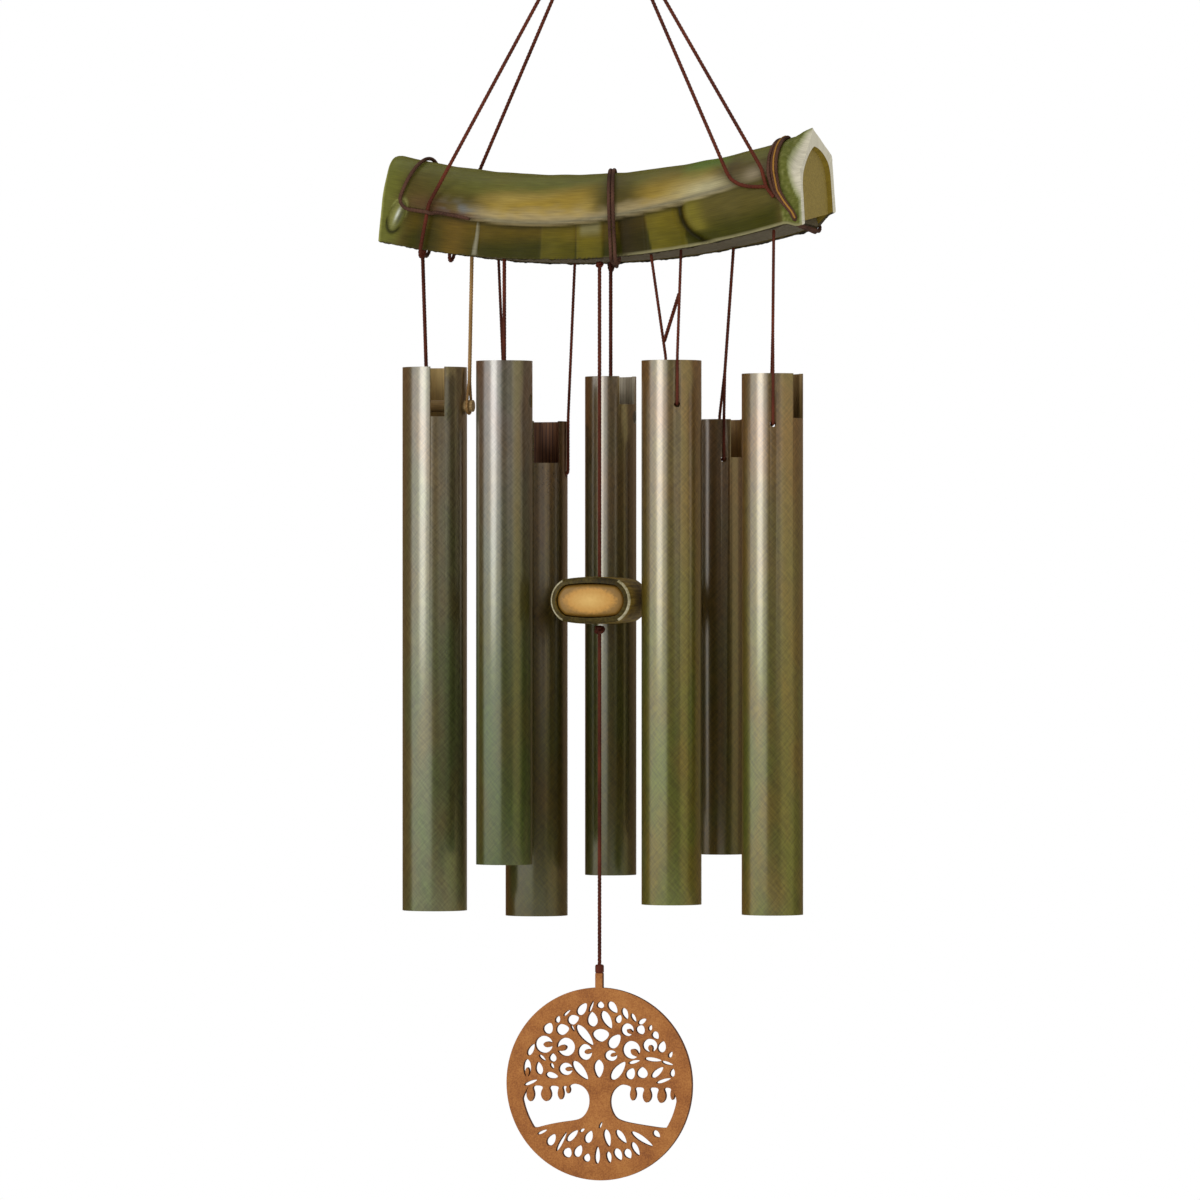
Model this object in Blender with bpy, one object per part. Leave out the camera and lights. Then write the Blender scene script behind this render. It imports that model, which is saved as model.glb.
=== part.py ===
"""A hanging wind chime: a curved bamboo header, seven metal tubes, a clapper and a pierced round sail.

+X runs along the header and +Z is up. The origin is the inside top of the hanging ring, where a hook bears.
"""
import math

import bmesh
import bpy
from mathutils import Matrix, Vector

# Clearances, in metres like every size here
CLEARANCE = 0.0003
CORD_CLEARANCE = 0.00055
CORD_END_GAP = 0.0005
HOLE_CLEARANCE = 0.0005

# Hanging ring, with the cord loop and gathering knot below it
RING_RADIUS = 0.012
RING_WIRE = 0.003
LOOP_RADIUS = 0.005
LOOP_CORD = 0.0024
GATHER_KNOT_DIAMETER = 0.011
GATHER_KNOT_HEIGHT = 0.013

# Cord
CORD = 0.002

# Bamboo header: a split culm, bent upwards at both ends and open below, hung with its right end higher
HEADER_DROP = 0.2243
HEADER_LENGTH = 0.2255
HEADER_DEPTH = 0.062
HEADER_HEIGHT = 0.0433
HEADER_FOOT = 0.017
HEADER_SIDE_WALL = 0.005
HEADER_CROWN_WALL = 0.008
BEND_RADIUS = 0.434
HEADER_TILT_DEGREES = 1.9
END_PEAK_RISE = 0.005
END_PEAK_REACH = 0.012
LEFT_CUT_SLANT_DEGREES = 12
LEFT_FOOT_INSET = 0.005
RIGHT_CUT_SLANT_DEGREES = 12
CUT_SLANT_REACH = 0.030
NODE_WALL = 0.003
NODE_WALL_INSET = 0.0025

# Bar inside the header that carries every cord
BAR_THICKNESS = 0.008
BAR_END_GAP = 0.001

# Stopper knots on top of the bar
KNOT_HEAD_DIAMETER = 0.0084
KNOT_HEAD_HEIGHT = 0.005
KNOT_STEM_DIAMETER = 0.0048
STRAND_SPACING = 0.0026
BRIDLE_RISE = 0.022
DOWEL_BRIDLE_RISE = 0.012

# Lashings round header and bar: place from the header's ends or middle, lean across it, turns seen in front
LASHING_PITCH = 0.0029
LEFT_LASHING_INSET = 0.0135
LEFT_LOOP_INSET = 0.0124
LEFT_LOOP_HEIGHT = 0.0183
LEFT_LOOP_CORNER = 0.0058
CENTRE_LASHING_AT = 0.0075
RIGHT_LASHING_INSET = 0.0148
CENTRE_LASHING_LEAN_DEGREES = 14
CENTRE_LASHING_TURNS = 2
RIGHT_LASHING_TURNS = 3
TUCK_HEIGHT = 0.007

# Hanger cords: how far from the end lashings they meet the header's faces
LEFT_FRONT_HANGER_INSET = 0.0290
LEFT_BACK_HANGER_INSET = 0.0268
RIGHT_INNER_HANGER_INSET = 0.0352
RIGHT_HANGER_END_OFFSET = 0.0020
LEFT_HANGER_HEIGHT = 0.0225
RIGHT_INNER_HANGER_HEIGHT = 0.0323
RIGHT_OUTER_HANGER_HEIGHT = 0.0300
RIGHT_HANGER_END_HEIGHT = 0.0210

# Tubes
TUBE_WALL = 0.0018
DOWEL = 0.006
DOWEL_RECESS = 0.0008
DOWEL_REACH = 0.0042
RIM_LIFT = 0.003
FRONT_ROW = -0.020
BACK_ROW = 0.020

# Each tube: its place along the header, size, drop below the hook, cord hole, rim slot, and its cord's place
# on the bar
TUBE_1_INSET = 0.02575
TUBE_1_DIAMETER = 0.0325
TUBE_1_DROP = 0.277
TUBE_1_LENGTH = 0.273
TUBE_1_HOLE_DROP = 0.0195
TUBE_1_SLOT_WIDTH = 0.007
TUBE_1_SLOT_DEPTH = 0.025
TUBE_1_CORD_INSET = 0.01925
TUBE_1_SIDE_CORD_INSET = 0.04525
TUBE_2_AT = -0.0445
TUBE_2_DIAMETER = 0.0282
TUBE_2_DROP = 0.2747
TUBE_2_LENGTH = 0.2512
TUBE_2_HOLE_DROP = 0.020
TUBE_3_AT = -0.0395
TUBE_3_DIAMETER = 0.0313
TUBE_3_DROP = 0.3041
TUBE_3_LENGTH = 0.2487
TUBE_3_HOLE_DROP = 0.027
TUBE_3_SLOT_WIDTH = 0.0135
TUBE_3_SLOT_DEPTH = 0.021
TUBE_3_CORD_SPREAD = 0.020
TUBE_4_AT = -0.0007
TUBE_4_DIAMETER = 0.0258
TUBE_4_DROP = 0.2818
TUBE_4_LENGTH = 0.2502
TUBE_4_HOLE_DROP = 0.0205
TUBE_4_SLOT_WIDTH = 0.0105
TUBE_4_SLOT_DEPTH = 0.014
TUBE_5_AT = 0.0421
TUBE_5_DIAMETER = 0.0298
TUBE_5_DROP = 0.2752
TUBE_5_LENGTH = 0.2698
TUBE_5_HOLE_DROP = 0.022
TUBE_5_RIGHT_CORD_AT = 0.047
TUBE_5_LEFT_CORD_AT = 0.0315
TUBE_6_AT = 0.0571
TUBE_6_DIAMETER = 0.0246
TUBE_6_DROP = 0.3037
TUBE_6_LENGTH = 0.2174
TUBE_6_HOLE_DROP = 0.020
TUBE_6_SLOT_WIDTH = 0.008
TUBE_6_SLOT_DEPTH = 0.019
TUBE_6_CORD_AT = 0.0632
TUBE_7_INSET = 0.0189
TUBE_7_DIAMETER = 0.0304
TUBE_7_DROP = 0.2822
TUBE_7_LENGTH = 0.2673
TUBE_7_HOLE_DROP = 0.025
TUBE_7_SLOT_WIDTH = 0.0095
TUBE_7_SLOT_DEPTH = 0.022
TUBE_7_CORD_INSET = 0.0182

# Clapper, its cords and the sail
CLAPPER_X = 0.0035
CLAPPER_Y = -0.015
CLAPPER_DROP = 0.3825
CLAPPER_WIDTH = 0.0415
CLAPPER_HEIGHT = 0.0234
CLAPPER_LENGTH = 0.036
CLAPPER_WALL = 0.003
CLAPPER_CORE_RECESS = 0.001
CLAPPER_KNOT = 0.0064
UPPER_KNOT = 0.0044
FERRULE_DIAMETER = 0.0048
FERRULE_HEIGHT = 0.0042
SAIL_DROP = 0.587
SAIL_DIAMETER = 0.096
SAIL_RIM = 0.0068
SAIL_THICKNESS = 0.003
SAIL_TAB_WIDTH = 0.0038
SAIL_TAB_HEIGHT = 0.0072
TRUNK_WIDTH = 0.009
GROUND_DEPTH = 0.004
GROUND_BELOW_CENTRE = 0.020
LEAF_LENGTH = 0.0056
LEAF_WIDTH = 0.0028
LEAF_ROW_STEP = 0.0074
LEAF_SPACING = 0.0058
LEAF_ROWS = 4

ARCH_STEPS = 22
HEADER_STATIONS = 25
TUBE_SIDES = 32


class Tube:
    """One chime tube: where it hangs, its size, how its cord holds it and the slot in its rim."""

    def __init__(self, number, x, y, diameter, drop, length, hole_drop, hole_turn=None, cord_tops=(),
                 slot_turn=None, slot_width=0.0, slot_depth=0.0):
        self.name = f"tube_{number}"
        self.x = x
        self.y = y
        self.radius = diameter / 2
        self.top = -drop
        self.length = length
        self.hole_z = -drop - hole_drop
        self.hole_turn = hole_turn
        self.cord_tops = cord_tops
        self.slot_turn = slot_turn
        self.slot_width = slot_width
        self.slot_depth = slot_depth

    def outward(self):
        """The level direction of the front cord hole, turned from the front towards +X."""
        turn = math.radians(self.hole_turn)
        return Vector((math.sin(turn), -math.cos(turn), 0))


# A tube with a hole_turn hangs on a cord that passes through it; the others hang on a dowel along X. The
# first and the last hang at a set distance inside the header's ends.
HALF_LENGTH = HEADER_LENGTH / 2
TUBES = [
    Tube(1, TUBE_1_INSET - HALF_LENGTH, 0.0, TUBE_1_DIAMETER, TUBE_1_DROP, TUBE_1_LENGTH, TUBE_1_HOLE_DROP,
         cord_tops=(TUBE_1_CORD_INSET - HALF_LENGTH,),
         slot_turn=22, slot_width=TUBE_1_SLOT_WIDTH, slot_depth=TUBE_1_SLOT_DEPTH),
    Tube(2, TUBE_2_AT, FRONT_ROW, TUBE_2_DIAMETER, TUBE_2_DROP, TUBE_2_LENGTH, TUBE_2_HOLE_DROP,
         cord_tops=(TUBE_2_AT,)),
    Tube(3, TUBE_3_AT, BACK_ROW, TUBE_3_DIAMETER, TUBE_3_DROP, TUBE_3_LENGTH, TUBE_3_HOLE_DROP,
         hole_turn=90, cord_tops=(TUBE_3_AT + TUBE_3_CORD_SPREAD, TUBE_3_AT - TUBE_3_CORD_SPREAD),
         slot_turn=37, slot_width=TUBE_3_SLOT_WIDTH, slot_depth=TUBE_3_SLOT_DEPTH),
    Tube(4, TUBE_4_AT, BACK_ROW, TUBE_4_DIAMETER, TUBE_4_DROP, TUBE_4_LENGTH, TUBE_4_HOLE_DROP,
         cord_tops=(TUBE_4_AT,), slot_turn=60, slot_width=TUBE_4_SLOT_WIDTH, slot_depth=TUBE_4_SLOT_DEPTH),
    Tube(5, TUBE_5_AT, FRONT_ROW, TUBE_5_DIAMETER, TUBE_5_DROP, TUBE_5_LENGTH, TUBE_5_HOLE_DROP,
         hole_turn=26, cord_tops=(TUBE_5_RIGHT_CORD_AT, TUBE_5_LEFT_CORD_AT)),
    Tube(6, TUBE_6_AT, BACK_ROW, TUBE_6_DIAMETER, TUBE_6_DROP, TUBE_6_LENGTH, TUBE_6_HOLE_DROP,
         hole_turn=20, cord_tops=(TUBE_6_CORD_AT,),
         slot_turn=56, slot_width=TUBE_6_SLOT_WIDTH, slot_depth=TUBE_6_SLOT_DEPTH),
    Tube(7, HALF_LENGTH - TUBE_7_INSET, FRONT_ROW, TUBE_7_DIAMETER, TUBE_7_DROP, TUBE_7_LENGTH,
         TUBE_7_HOLE_DROP, hole_turn=16, cord_tops=(HALF_LENGTH - TUBE_7_CORD_INSET,),
         slot_turn=76, slot_width=TUBE_7_SLOT_WIDTH, slot_depth=TUBE_7_SLOT_DEPTH),
]
TUBE_1, TUBE_5 = TUBES[0], TUBES[4]
SIDE_CORD_TOP = TUBE_1_SIDE_CORD_INSET - HALF_LENGTH

# What follows from those sizes
CORD_RADIUS = CORD / 2
CORD_OFFSET = CORD_RADIUS + CORD_CLEARANCE
HALF_DEPTH = HEADER_DEPTH / 2
HALF_HOLLOW = HALF_DEPTH - HEADER_SIDE_WALL
CROWN_RISE = HEADER_HEIGHT - HEADER_FOOT
HEADER_TILT = math.tan(math.radians(HEADER_TILT_DEGREES))
BAR_HALF_WIDTH = HALF_HOLLOW - CORD - 2 * (CORD_CLEARANCE - 0.5 * CLEARANCE)
TUCK_Y = (HALF_HOLLOW + BAR_HALF_WIDTH) / 2
HALF_ARC = BEND_RADIUS * math.asin(HALF_LENGTH / BEND_RADIUS)
LEFT_LASHING_AT = LEFT_LASHING_INSET - HALF_ARC
RIGHT_LASHING_AT = HALF_ARC - RIGHT_LASHING_INSET
LEFT_FRONT_HANGER_AT = LEFT_FRONT_HANGER_INSET - HALF_ARC
LEFT_BACK_HANGER_AT = LEFT_BACK_HANGER_INSET - HALF_ARC
RIGHT_INNER_HANGER_AT = HALF_ARC - RIGHT_INNER_HANGER_INSET
RIGHT_HANGER_END_AT = RIGHT_LASHING_AT - RIGHT_HANGER_END_OFFSET
NODE_WALL_AT = HALF_ARC - NODE_WALL_INSET - NODE_WALL / 2
RING_CENTRE = -(RING_RADIUS - RING_WIRE / 2)
RING_FOOT = RING_CENTRE - RING_RADIUS
LOOP_CENTRE = RING_FOOT + RING_WIRE / 2 + CLEARANCE - (LOOP_RADIUS - LOOP_CORD / 2)
GATHER_TOP = LOOP_CENTRE - LOOP_RADIUS
GATHER_FOOT = GATHER_TOP - GATHER_KNOT_HEIGHT
SAIL_CENTRE = -SAIL_DROP - SAIL_DIAMETER / 2
GROUND = -GROUND_BELOW_CENTRE


def header_point(along, y, height):
    """A point at an arc length along the header's bottom edge, at y across it and a height above it."""
    angle = along / BEND_RADIUS
    radius = BEND_RADIUS - height
    x = radius * math.sin(angle)
    return Vector((x, y, BEND_RADIUS - HEADER_DROP - radius * math.cos(angle) + HEADER_TILT * x))


def arc_at(x):
    """The arc length along the header's bottom edge at a given x."""
    return BEND_RADIUS * math.asin(x / BEND_RADIUS)


def underside(x):
    """The height of the bar's underside at x."""
    return header_point(arc_at(x), 0, 0).z


def smooth_step(value):
    value = min(max(value, 0.0), 1.0)
    return value * value * (3 - 2 * value)


def end_peak(along):
    """How far the crown is drawn up to a ridge near the right end, where the culm's next joint begins."""
    return END_PEAK_RISE * smooth_step((along - HALF_ARC + END_PEAK_REACH) / END_PEAK_REACH)


def slanted(along, height):
    """Where a point of the header's wall lies along it: both end cuts lean outwards towards the crown, and
    the left one starts further in at the foot."""
    near = smooth_step((abs(along) - HALF_ARC + CUT_SLANT_REACH) / CUT_SLANT_REACH)
    if along > 0:
        return along + height * near * math.tan(math.radians(RIGHT_CUT_SLANT_DEGREES))
    inset = LEFT_FOOT_INSET * (1 - height / HEADER_HEIGHT)
    return along + near * (inset - height * math.tan(math.radians(LEFT_CUT_SLANT_DEGREES)))


def arch(half, rise, peak):
    """Points (y, height) from the front foot over the crown to the back foot."""
    points = [(-half, 0.0)]
    for i in range(ARCH_STEPS + 1):
        angle = math.pi * (1 - i / ARCH_STEPS)
        y = half * math.cos(angle)
        points.append((y, HEADER_FOOT + rise * math.sin(angle) + peak * (1 - abs(y) / half)))
    points.append((half, 0.0))
    return points


def offset_arch(along, offset):
    """The header's outer outline at a place along it, moved outwards by offset, from back to front."""
    outline = arch(HALF_DEPTH, CROWN_RISE, end_peak(along))
    moved = []
    for i, (y, height) in enumerate(outline):
        before = outline[max(i - 1, 0)]
        after = outline[min(i + 1, len(outline) - 1)]
        across = Vector((before[1] - after[1], after[0] - before[0])).normalized()
        moved.append((y + across.x * offset, height + across.y * offset))
    return moved[::-1]


def face_y(height, offset):
    """How far in front of the middle the header's outer skin, moved outwards by offset, is at a height."""
    climb = max(height - HEADER_FOOT, 0) / (CROWN_RISE + offset)
    return -(HALF_DEPTH + offset) * math.sqrt(1 - min(climb, 1) ** 2)


def material(name, colour, roughness, metallic=0.0):
    """A plain material from an sRGB hex colour."""
    channels = []
    for i in (0, 2, 4):
        value = int(colour[i:i + 2], 16) / 255
        channels.append(value / 12.92 if value <= 0.04045 else ((value + 0.055) / 1.055) ** 2.4)
    made = bpy.data.materials.new(name)
    made.use_nodes = True
    shader = made.node_tree.nodes["Principled BSDF"]
    shader.inputs["Base Color"].default_value = (*channels, 1)
    shader.inputs["Roughness"].default_value = roughness
    shader.inputs["Metallic"].default_value = metallic
    made.diffuse_color = (*channels, 1)
    return made


def add_object(name, data, look, pivot=Vector()):
    """Put mesh or curve data into the scene, with its origin on the axis that it turns about."""
    data.transform(Matrix.Translation(-pivot))
    made = bpy.data.objects.new(name, data)
    made.location = pivot
    bpy.context.collection.objects.link(made)
    data.materials.append(look)
    return made


def mesh_from(bm, name):
    """Turn edited geometry into mesh data with its faces pointing outwards."""
    bmesh.ops.recalc_face_normals(bm, faces=bm.faces)
    data = bpy.data.meshes.new(name)
    bm.to_mesh(data)
    bm.free()
    data.shade_smooth()
    data.set_sharp_from_angle(angle=math.radians(35))
    return data


def loft(name, rings):
    """Skin a row of closed rings of points and cap both ends."""
    bm = bmesh.new()
    rows = [[bm.verts.new(point) for point in ring] for ring in rings]
    for low, high in zip(rows, rows[1:]):
        for i in range(len(low)):
            j = (i + 1) % len(low)
            bm.faces.new((low[i], low[j], high[j], high[i]))
    bm.faces.new(rows[0])
    bm.faces.new(rows[-1])
    return mesh_from(bm, name)


def turned(name, profile, frame, sides=16):
    """Turn a profile of (radius, height) about the frame's own Z, from its foot to its top."""
    bm = bmesh.new()
    rings = []
    for radius, height in profile:
        if radius == 0:
            rings.append([bm.verts.new((0, 0, height))])
            continue
        spread = [2 * math.pi * i / sides for i in range(sides)]
        rings.append([bm.verts.new((radius * math.cos(a), radius * math.sin(a), height)) for a in spread])
    for low, high in zip(rings, rings[1:]):
        for i in range(sides):
            j = (i + 1) % sides
            corners = [low[i % len(low)], low[j % len(low)], high[j % len(high)], high[i % len(high)]]
            bm.faces.new(list(dict.fromkeys(corners)))
    bm.transform(frame)
    return mesh_from(bm, name)


def frame_along(origin, axis):
    """A frame at origin whose Z runs along axis."""
    return Matrix.Translation(origin) @ axis.to_track_quat("Z", "X").to_matrix().to_4x4()


def rod(name, start, end, radius, sides=16):
    """A plain round rod between two points."""
    length = (end - start).length
    profile = [(0, 0), (radius, 0), (radius, length), (0, length)]
    return turned(name, profile, frame_along(start, end - start), sides)


def join(name, parts):
    """Put several separate shapes into one piece of mesh data, for cutting with."""
    bm = bmesh.new()
    for data in parts:
        bm.from_mesh(data)
        bpy.data.meshes.remove(data)
    joined = bpy.data.meshes.new(name)
    bm.to_mesh(joined)
    bm.free()
    return joined


def combine(target, data, operation):
    """Cut a hidden shape out of an object, or fuse it on."""
    tool = bpy.data.objects.new(f"{data.name}_tool", data)
    bpy.context.collection.objects.link(tool)
    tool.hide_render = True
    tool.display_type = "WIRE"
    change = target.modifiers.new(operation.lower(), "BOOLEAN")
    change.operation = operation
    change.solver = "EXACT"
    change.object = tool


def cord(name, points, look, pivot=Vector(), resolution=2, diameter=CORD):
    """A round cord through a row of points, with filled ends."""
    data = bpy.data.curves.new(name, "CURVE")
    data.dimensions = "3D"
    data.bevel_depth = diameter / 2
    data.bevel_resolution = resolution
    data.use_fill_caps = True
    spline = data.splines.new("POLY")
    spline.points.add(len(points) - 1)
    for slot, point in zip(spline.points, points):
        slot.co = (*point, 1)
    return add_object(name, data, look, pivot)


def round_corner(before, corner, after, radius, steps=5):
    """The points of an arc that takes the place of a sharp corner."""
    back = (before - corner).normalized()
    on = (after - corner).normalized()
    half = back.angle(on) / 2
    centre = corner + (back + on).normalized() * radius / math.sin(half)
    start = (corner + back * radius / math.tan(half) - centre).normalized()
    end = (corner + on * radius / math.tan(half) - centre).normalized()
    return [centre + start.slerp(end, i / steps) * radius for i in range(steps + 1)]


def half_turn(centre, start, down, radius, steps=8):
    """Points of a half circle from one side of centre round its lower side to the other."""
    turns = [math.pi * i / steps for i in range(steps + 1)]
    return [centre + start * radius * math.cos(t) + down * radius * math.sin(t) for t in turns]


def least_gap(points, diameter):
    """The least free gap between stretches of a cord that aren't neighbours along it."""
    runs = [0.0]
    for before, after in zip(points, points[1:]):
        runs.append(runs[-1] + (after - before).length)
    least = math.inf
    for i, point in enumerate(points):
        for j in range(i + 1, len(points) - 1):
            if runs[j] - runs[i] < 6 * diameter:
                continue
            step = points[j + 1] - points[j]
            share = min(max((point - points[j]).dot(step) / step.length_squared, 0), 1)
            least = min(least, (points[j] + step * share - point).length - diameter)
    return least


def tuck(along, side, outwards):
    """A cord's end inside the header, brought round a side wall's foot; side is -1 in front, 1 behind."""
    outer = HALF_DEPTH + CORD_OFFSET
    middle = (TUCK_Y + outer) / 2
    bow = (outer - TUCK_Y) / 2
    points = [header_point(along, side * TUCK_Y, TUCK_HEIGHT)]
    points.append(header_point(along, side * TUCK_Y, TUCK_HEIGHT - CORD))
    for i in range(6):
        angle = math.pi * i / 5
        points.append(header_point(along, side * (middle - bow * math.cos(angle)), -bow * math.sin(angle)))
    return points if outwards else points[::-1]


def lashing(name, start, lean, turns, look):
    """One unbroken winding round header and bar, with both ends tucked up inside the header."""
    outer = HALF_DEPTH + CORD_OFFSET
    points = tuck(start - lean * outer, 1, True)
    for turn in range(turns):
        steps = [1, *range(2, ARCH_STEPS + 1, 2), ARCH_STEPS + 1]
        for i in steps:
            reached = start + LASHING_PITCH * (turn + 0.5 * i / steps[-1])
            y, height = offset_arch(reached, CORD_OFFSET)[i]
            points.append(header_point(reached - lean * y, y, height))
        if turn == turns - 1:
            continue
        under = [(-outer, 0.0), (-HALF_DEPTH - CORD_OFFSET * 0.7, -CORD_OFFSET * 0.7)]
        under.append((-HALF_DEPTH, -CORD_OFFSET))
        under += [(HALF_DEPTH * (i - 2) / 3, -CORD_OFFSET) for i in range(1, 4)]
        under += [(-y, height) for y, height in under[2::-1]]
        for i, (y, height) in enumerate(under):
            along = start + LASHING_PITCH * (turn + 0.5 + 0.5 * i / len(under)) - lean * y
            points.append(header_point(along, y, height))
    points += tuck(start + LASHING_PITCH * (turns - 0.5) + lean * outer, -1, False)
    print(f"{name}: least gap between turns {least_gap(points, CORD) * 1000:.2f} mm")
    return cord(name, points, look, resolution=1)


def left_loop(name, look):
    """The left lashing: up the back, over the crown, and down in a loop to the hanger cord in front."""
    points = tuck(LEFT_LASHING_AT, 1, True)
    outline = offset_arch(LEFT_LASHING_AT, CORD_OFFSET)
    crown = len(outline) // 2
    points += [header_point(LEFT_LASHING_AT, y, height) for y, height in outline[1:crown:2]]
    low = LEFT_LOOP_HEIGHT + LEFT_LOOP_CORNER
    top = HEADER_HEIGHT + CORD_OFFSET
    for i in range(9):
        height = top + (low - top) * (i / 8) ** 1.6
        rise = (height - low) / (top - low)
        inset = LEFT_LOOP_INSET + (LEFT_LASHING_INSET - LEFT_LOOP_INSET) * rise ** 1.2
        points.append(header_point(inset - HALF_ARC, face_y(height, CORD_OFFSET), height))
    for i in range(1, 7):
        angle = math.pi / 2 * i / 6
        inset = LEFT_LOOP_INSET + LEFT_LOOP_CORNER * (1 - math.cos(angle))
        height = LEFT_LOOP_HEIGHT + LEFT_LOOP_CORNER * (1 - math.sin(angle))
        points.append(header_point(inset - HALF_ARC, face_y(height, CORD_OFFSET), height))
    last = LEFT_FRONT_HANGER_AT - CORD - CORD_CLEARANCE
    points.append(header_point(last, face_y(LEFT_LOOP_HEIGHT, CORD_OFFSET), LEFT_LOOP_HEIGHT))
    return cord(name, points, look, resolution=1)


def stopper_knot(name, x, y, look):
    """A knot on top of the bar, with the cord's end through the bar below it."""
    along = arc_at(x)
    origin = header_point(along, y, 0)
    head = KNOT_HEAD_DIAMETER / 2
    seat = BAR_THICKNESS + CLEARANCE
    stem = KNOT_STEM_DIAMETER / 2
    profile = [(0, 0), (stem, 0), (stem, seat), (0.75 * head, seat), (head, seat + 0.3 * KNOT_HEAD_HEIGHT),
               (head, seat + 0.65 * KNOT_HEAD_HEIGHT), (0.6 * head, seat + KNOT_HEAD_HEIGHT),
               (0, seat + KNOT_HEAD_HEIGHT)]
    up = header_point(along, y, 1) - origin
    return add_object(name, turned(name, profile, frame_along(origin, up), 12), look)


def bar_hole(x, y):
    """A cutter for the hole that a stopper knot's stem passes through."""
    along = arc_at(x)
    low = header_point(along, y, -CORD)
    high = header_point(along, y, BAR_THICKNESS + CORD)
    return rod("bar_hole", low, high, KNOT_STEM_DIAMETER / 2 + CLEARANCE, 12)


def dowel_loop(x_top, x_dowel, y, dowel_z):
    """A cord's two strands from the bar side by side down to a dowel along X, and round its lower side."""
    top = underside(x_top) - CORD_END_GAP
    bow = DOWEL / 2 + CORD_OFFSET
    across = Vector((0, STRAND_SPACING / 2, 0))
    low = half_turn(Vector((x_dowel, y, dowel_z)), Vector((0, -1, 0)), Vector((0, 0, -1)), bow)
    high = Vector((x_top, y, top))
    foot = Vector((x_dowel, y, dowel_z))
    meet = foot.lerp(high, DOWEL_BRIDLE_RISE / (top - dowel_z))
    return [high - across, meet - across, *low, meet + across, high + across]


def through_loop(tube):
    """A cord's two strands from the bar, parting above the rim, and straight through both holes."""
    out = tube.outward()
    side = tube.radius + CORD_OFFSET
    middle = Vector((tube.x, tube.y, 0))
    rim = Vector((0, 0, tube.top + RIM_LIFT))
    hole = Vector((0, 0, tube.hole_z))
    tops = [Vector((x, tube.y, underside(x) - CORD_END_GAP)) for x in tube.cord_tops]
    above_front, above_back = [], []
    if len(tops) == 1:
        apart = out * STRAND_SPACING / 2
        meet = (middle + rim).lerp(tops[0], BRIDLE_RISE / (tops[0].z - rim.z))
        above_front, above_back = [meet + apart], [meet - apart]
        tops = [tops[0] + apart, tops[0] - apart]
    front_rim, back_rim = (middle + rim + out * side * sign for sign in (1, -1))
    front_hole, back_hole = (middle + hole + out * side * sign for sign in (1, -1))
    bend = 2 * CORD_RADIUS
    return [tops[0], *above_front, front_rim, *round_corner(front_rim, front_hole, back_hole, bend),
            *round_corner(front_hole, back_hole, back_rim, bend), back_rim, *above_back, tops[1]]


def build_ring(looks):
    """The hanging ring, and the cord loop and knot that gather the hanger cords on it."""
    def torus(name, radius, thickness, frame, steps, sides):
        bm = bmesh.new()
        rows = []
        for i in range(steps):
            a = 2 * math.pi * i / steps
            row = []
            for j in range(sides):
                b = 2 * math.pi * j / sides
                reach = radius + thickness * math.cos(b)
                row.append(bm.verts.new((reach * math.cos(a), reach * math.sin(a), thickness * math.sin(b))))
            rows.append(row)
        for i in range(steps):
            for j in range(sides):
                i2, j2 = (i + 1) % steps, (j + 1) % sides
                bm.faces.new((rows[i][j], rows[i2][j], rows[i2][j2], rows[i][j2]))
        bm.transform(frame)
        return mesh_from(bm, name)

    facing = frame_along(Vector((0, 0, RING_CENTRE)), Vector((0, -1, 0)))
    wire = torus("hang_ring", RING_RADIUS, RING_WIRE / 2, facing, 36, 10)
    add_object("hang_ring", wire, looks["steel"])
    crosswise = frame_along(Vector((0, 0, LOOP_CENTRE)), Vector((1, 0, 0)))
    loop = torus("ring_loop", LOOP_RADIUS, LOOP_CORD / 2, crosswise, 24, 8)
    pivot = Vector((0, 0, RING_FOOT))
    widest = GATHER_KNOT_DIAMETER / 2
    profile = [(0, 0), (0.62 * widest, 0), (widest, 0.25 * GATHER_KNOT_HEIGHT),
               (widest, 0.7 * GATHER_KNOT_HEIGHT), (0.55 * widest, GATHER_KNOT_HEIGHT),
               (0, GATHER_KNOT_HEIGHT)]
    knot = turned("gather_knot", profile, Matrix.Translation((0, 0, GATHER_FOOT)))
    made = add_object("gather_knot", knot, looks["cord"], pivot)
    combine(made, loop, "UNION")
    return pivot


def build_hangers(looks, pivot):
    """The four cords between the gathering knot and the header."""
    face = HALF_DEPTH + CORD_OFFSET
    start_spread = 0.3 * GATHER_KNOT_DIAMETER

    def start(x_sign, y):
        return Vector((x_sign * start_spread, y, GATHER_FOOT - CORD_END_GAP))

    lefts = (("left_front_hanger", -1, LEFT_FRONT_HANGER_AT), ("left_back_hanger", 1, LEFT_BACK_HANGER_AT))
    for name, side, along in lefts:
        points = [start(-1, side * 0.5 * start_spread)]
        points.append(header_point(along, side * face, LEFT_HANGER_HEIGHT))
        points += tuck(along, side, False)
        cord(name, points, looks["cord"], pivot)

    def on_face(along, height):
        return header_point(along, face_y(height, CORD_OFFSET), height)

    last = RIGHT_HANGER_END_AT
    inner = [start(1, 0.5 * start_spread)]
    bend_to = last - 1.3 * CORD
    for share, lift in ((0, 1), (0.18, 0.66), (0.42, 0.35), (0.7, 0.13), (1.0, 0.0)):
        along = RIGHT_INNER_HANGER_AT + (bend_to - RIGHT_INNER_HANGER_AT) * share
        rise = (RIGHT_INNER_HANGER_HEIGHT - RIGHT_HANGER_END_HEIGHT) * lift
        inner.append(on_face(along, RIGHT_HANGER_END_HEIGHT + rise))
    cord("right_inner_hanger", inner, looks["cord"], pivot)
    outer = [start(1, -0.7 * start_spread), on_face(last, RIGHT_OUTER_HANGER_HEIGHT)]
    outer.append(on_face(last, RIGHT_HANGER_END_HEIGHT))
    cord("right_outer_hanger", outer, looks["cord"], pivot)


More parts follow.
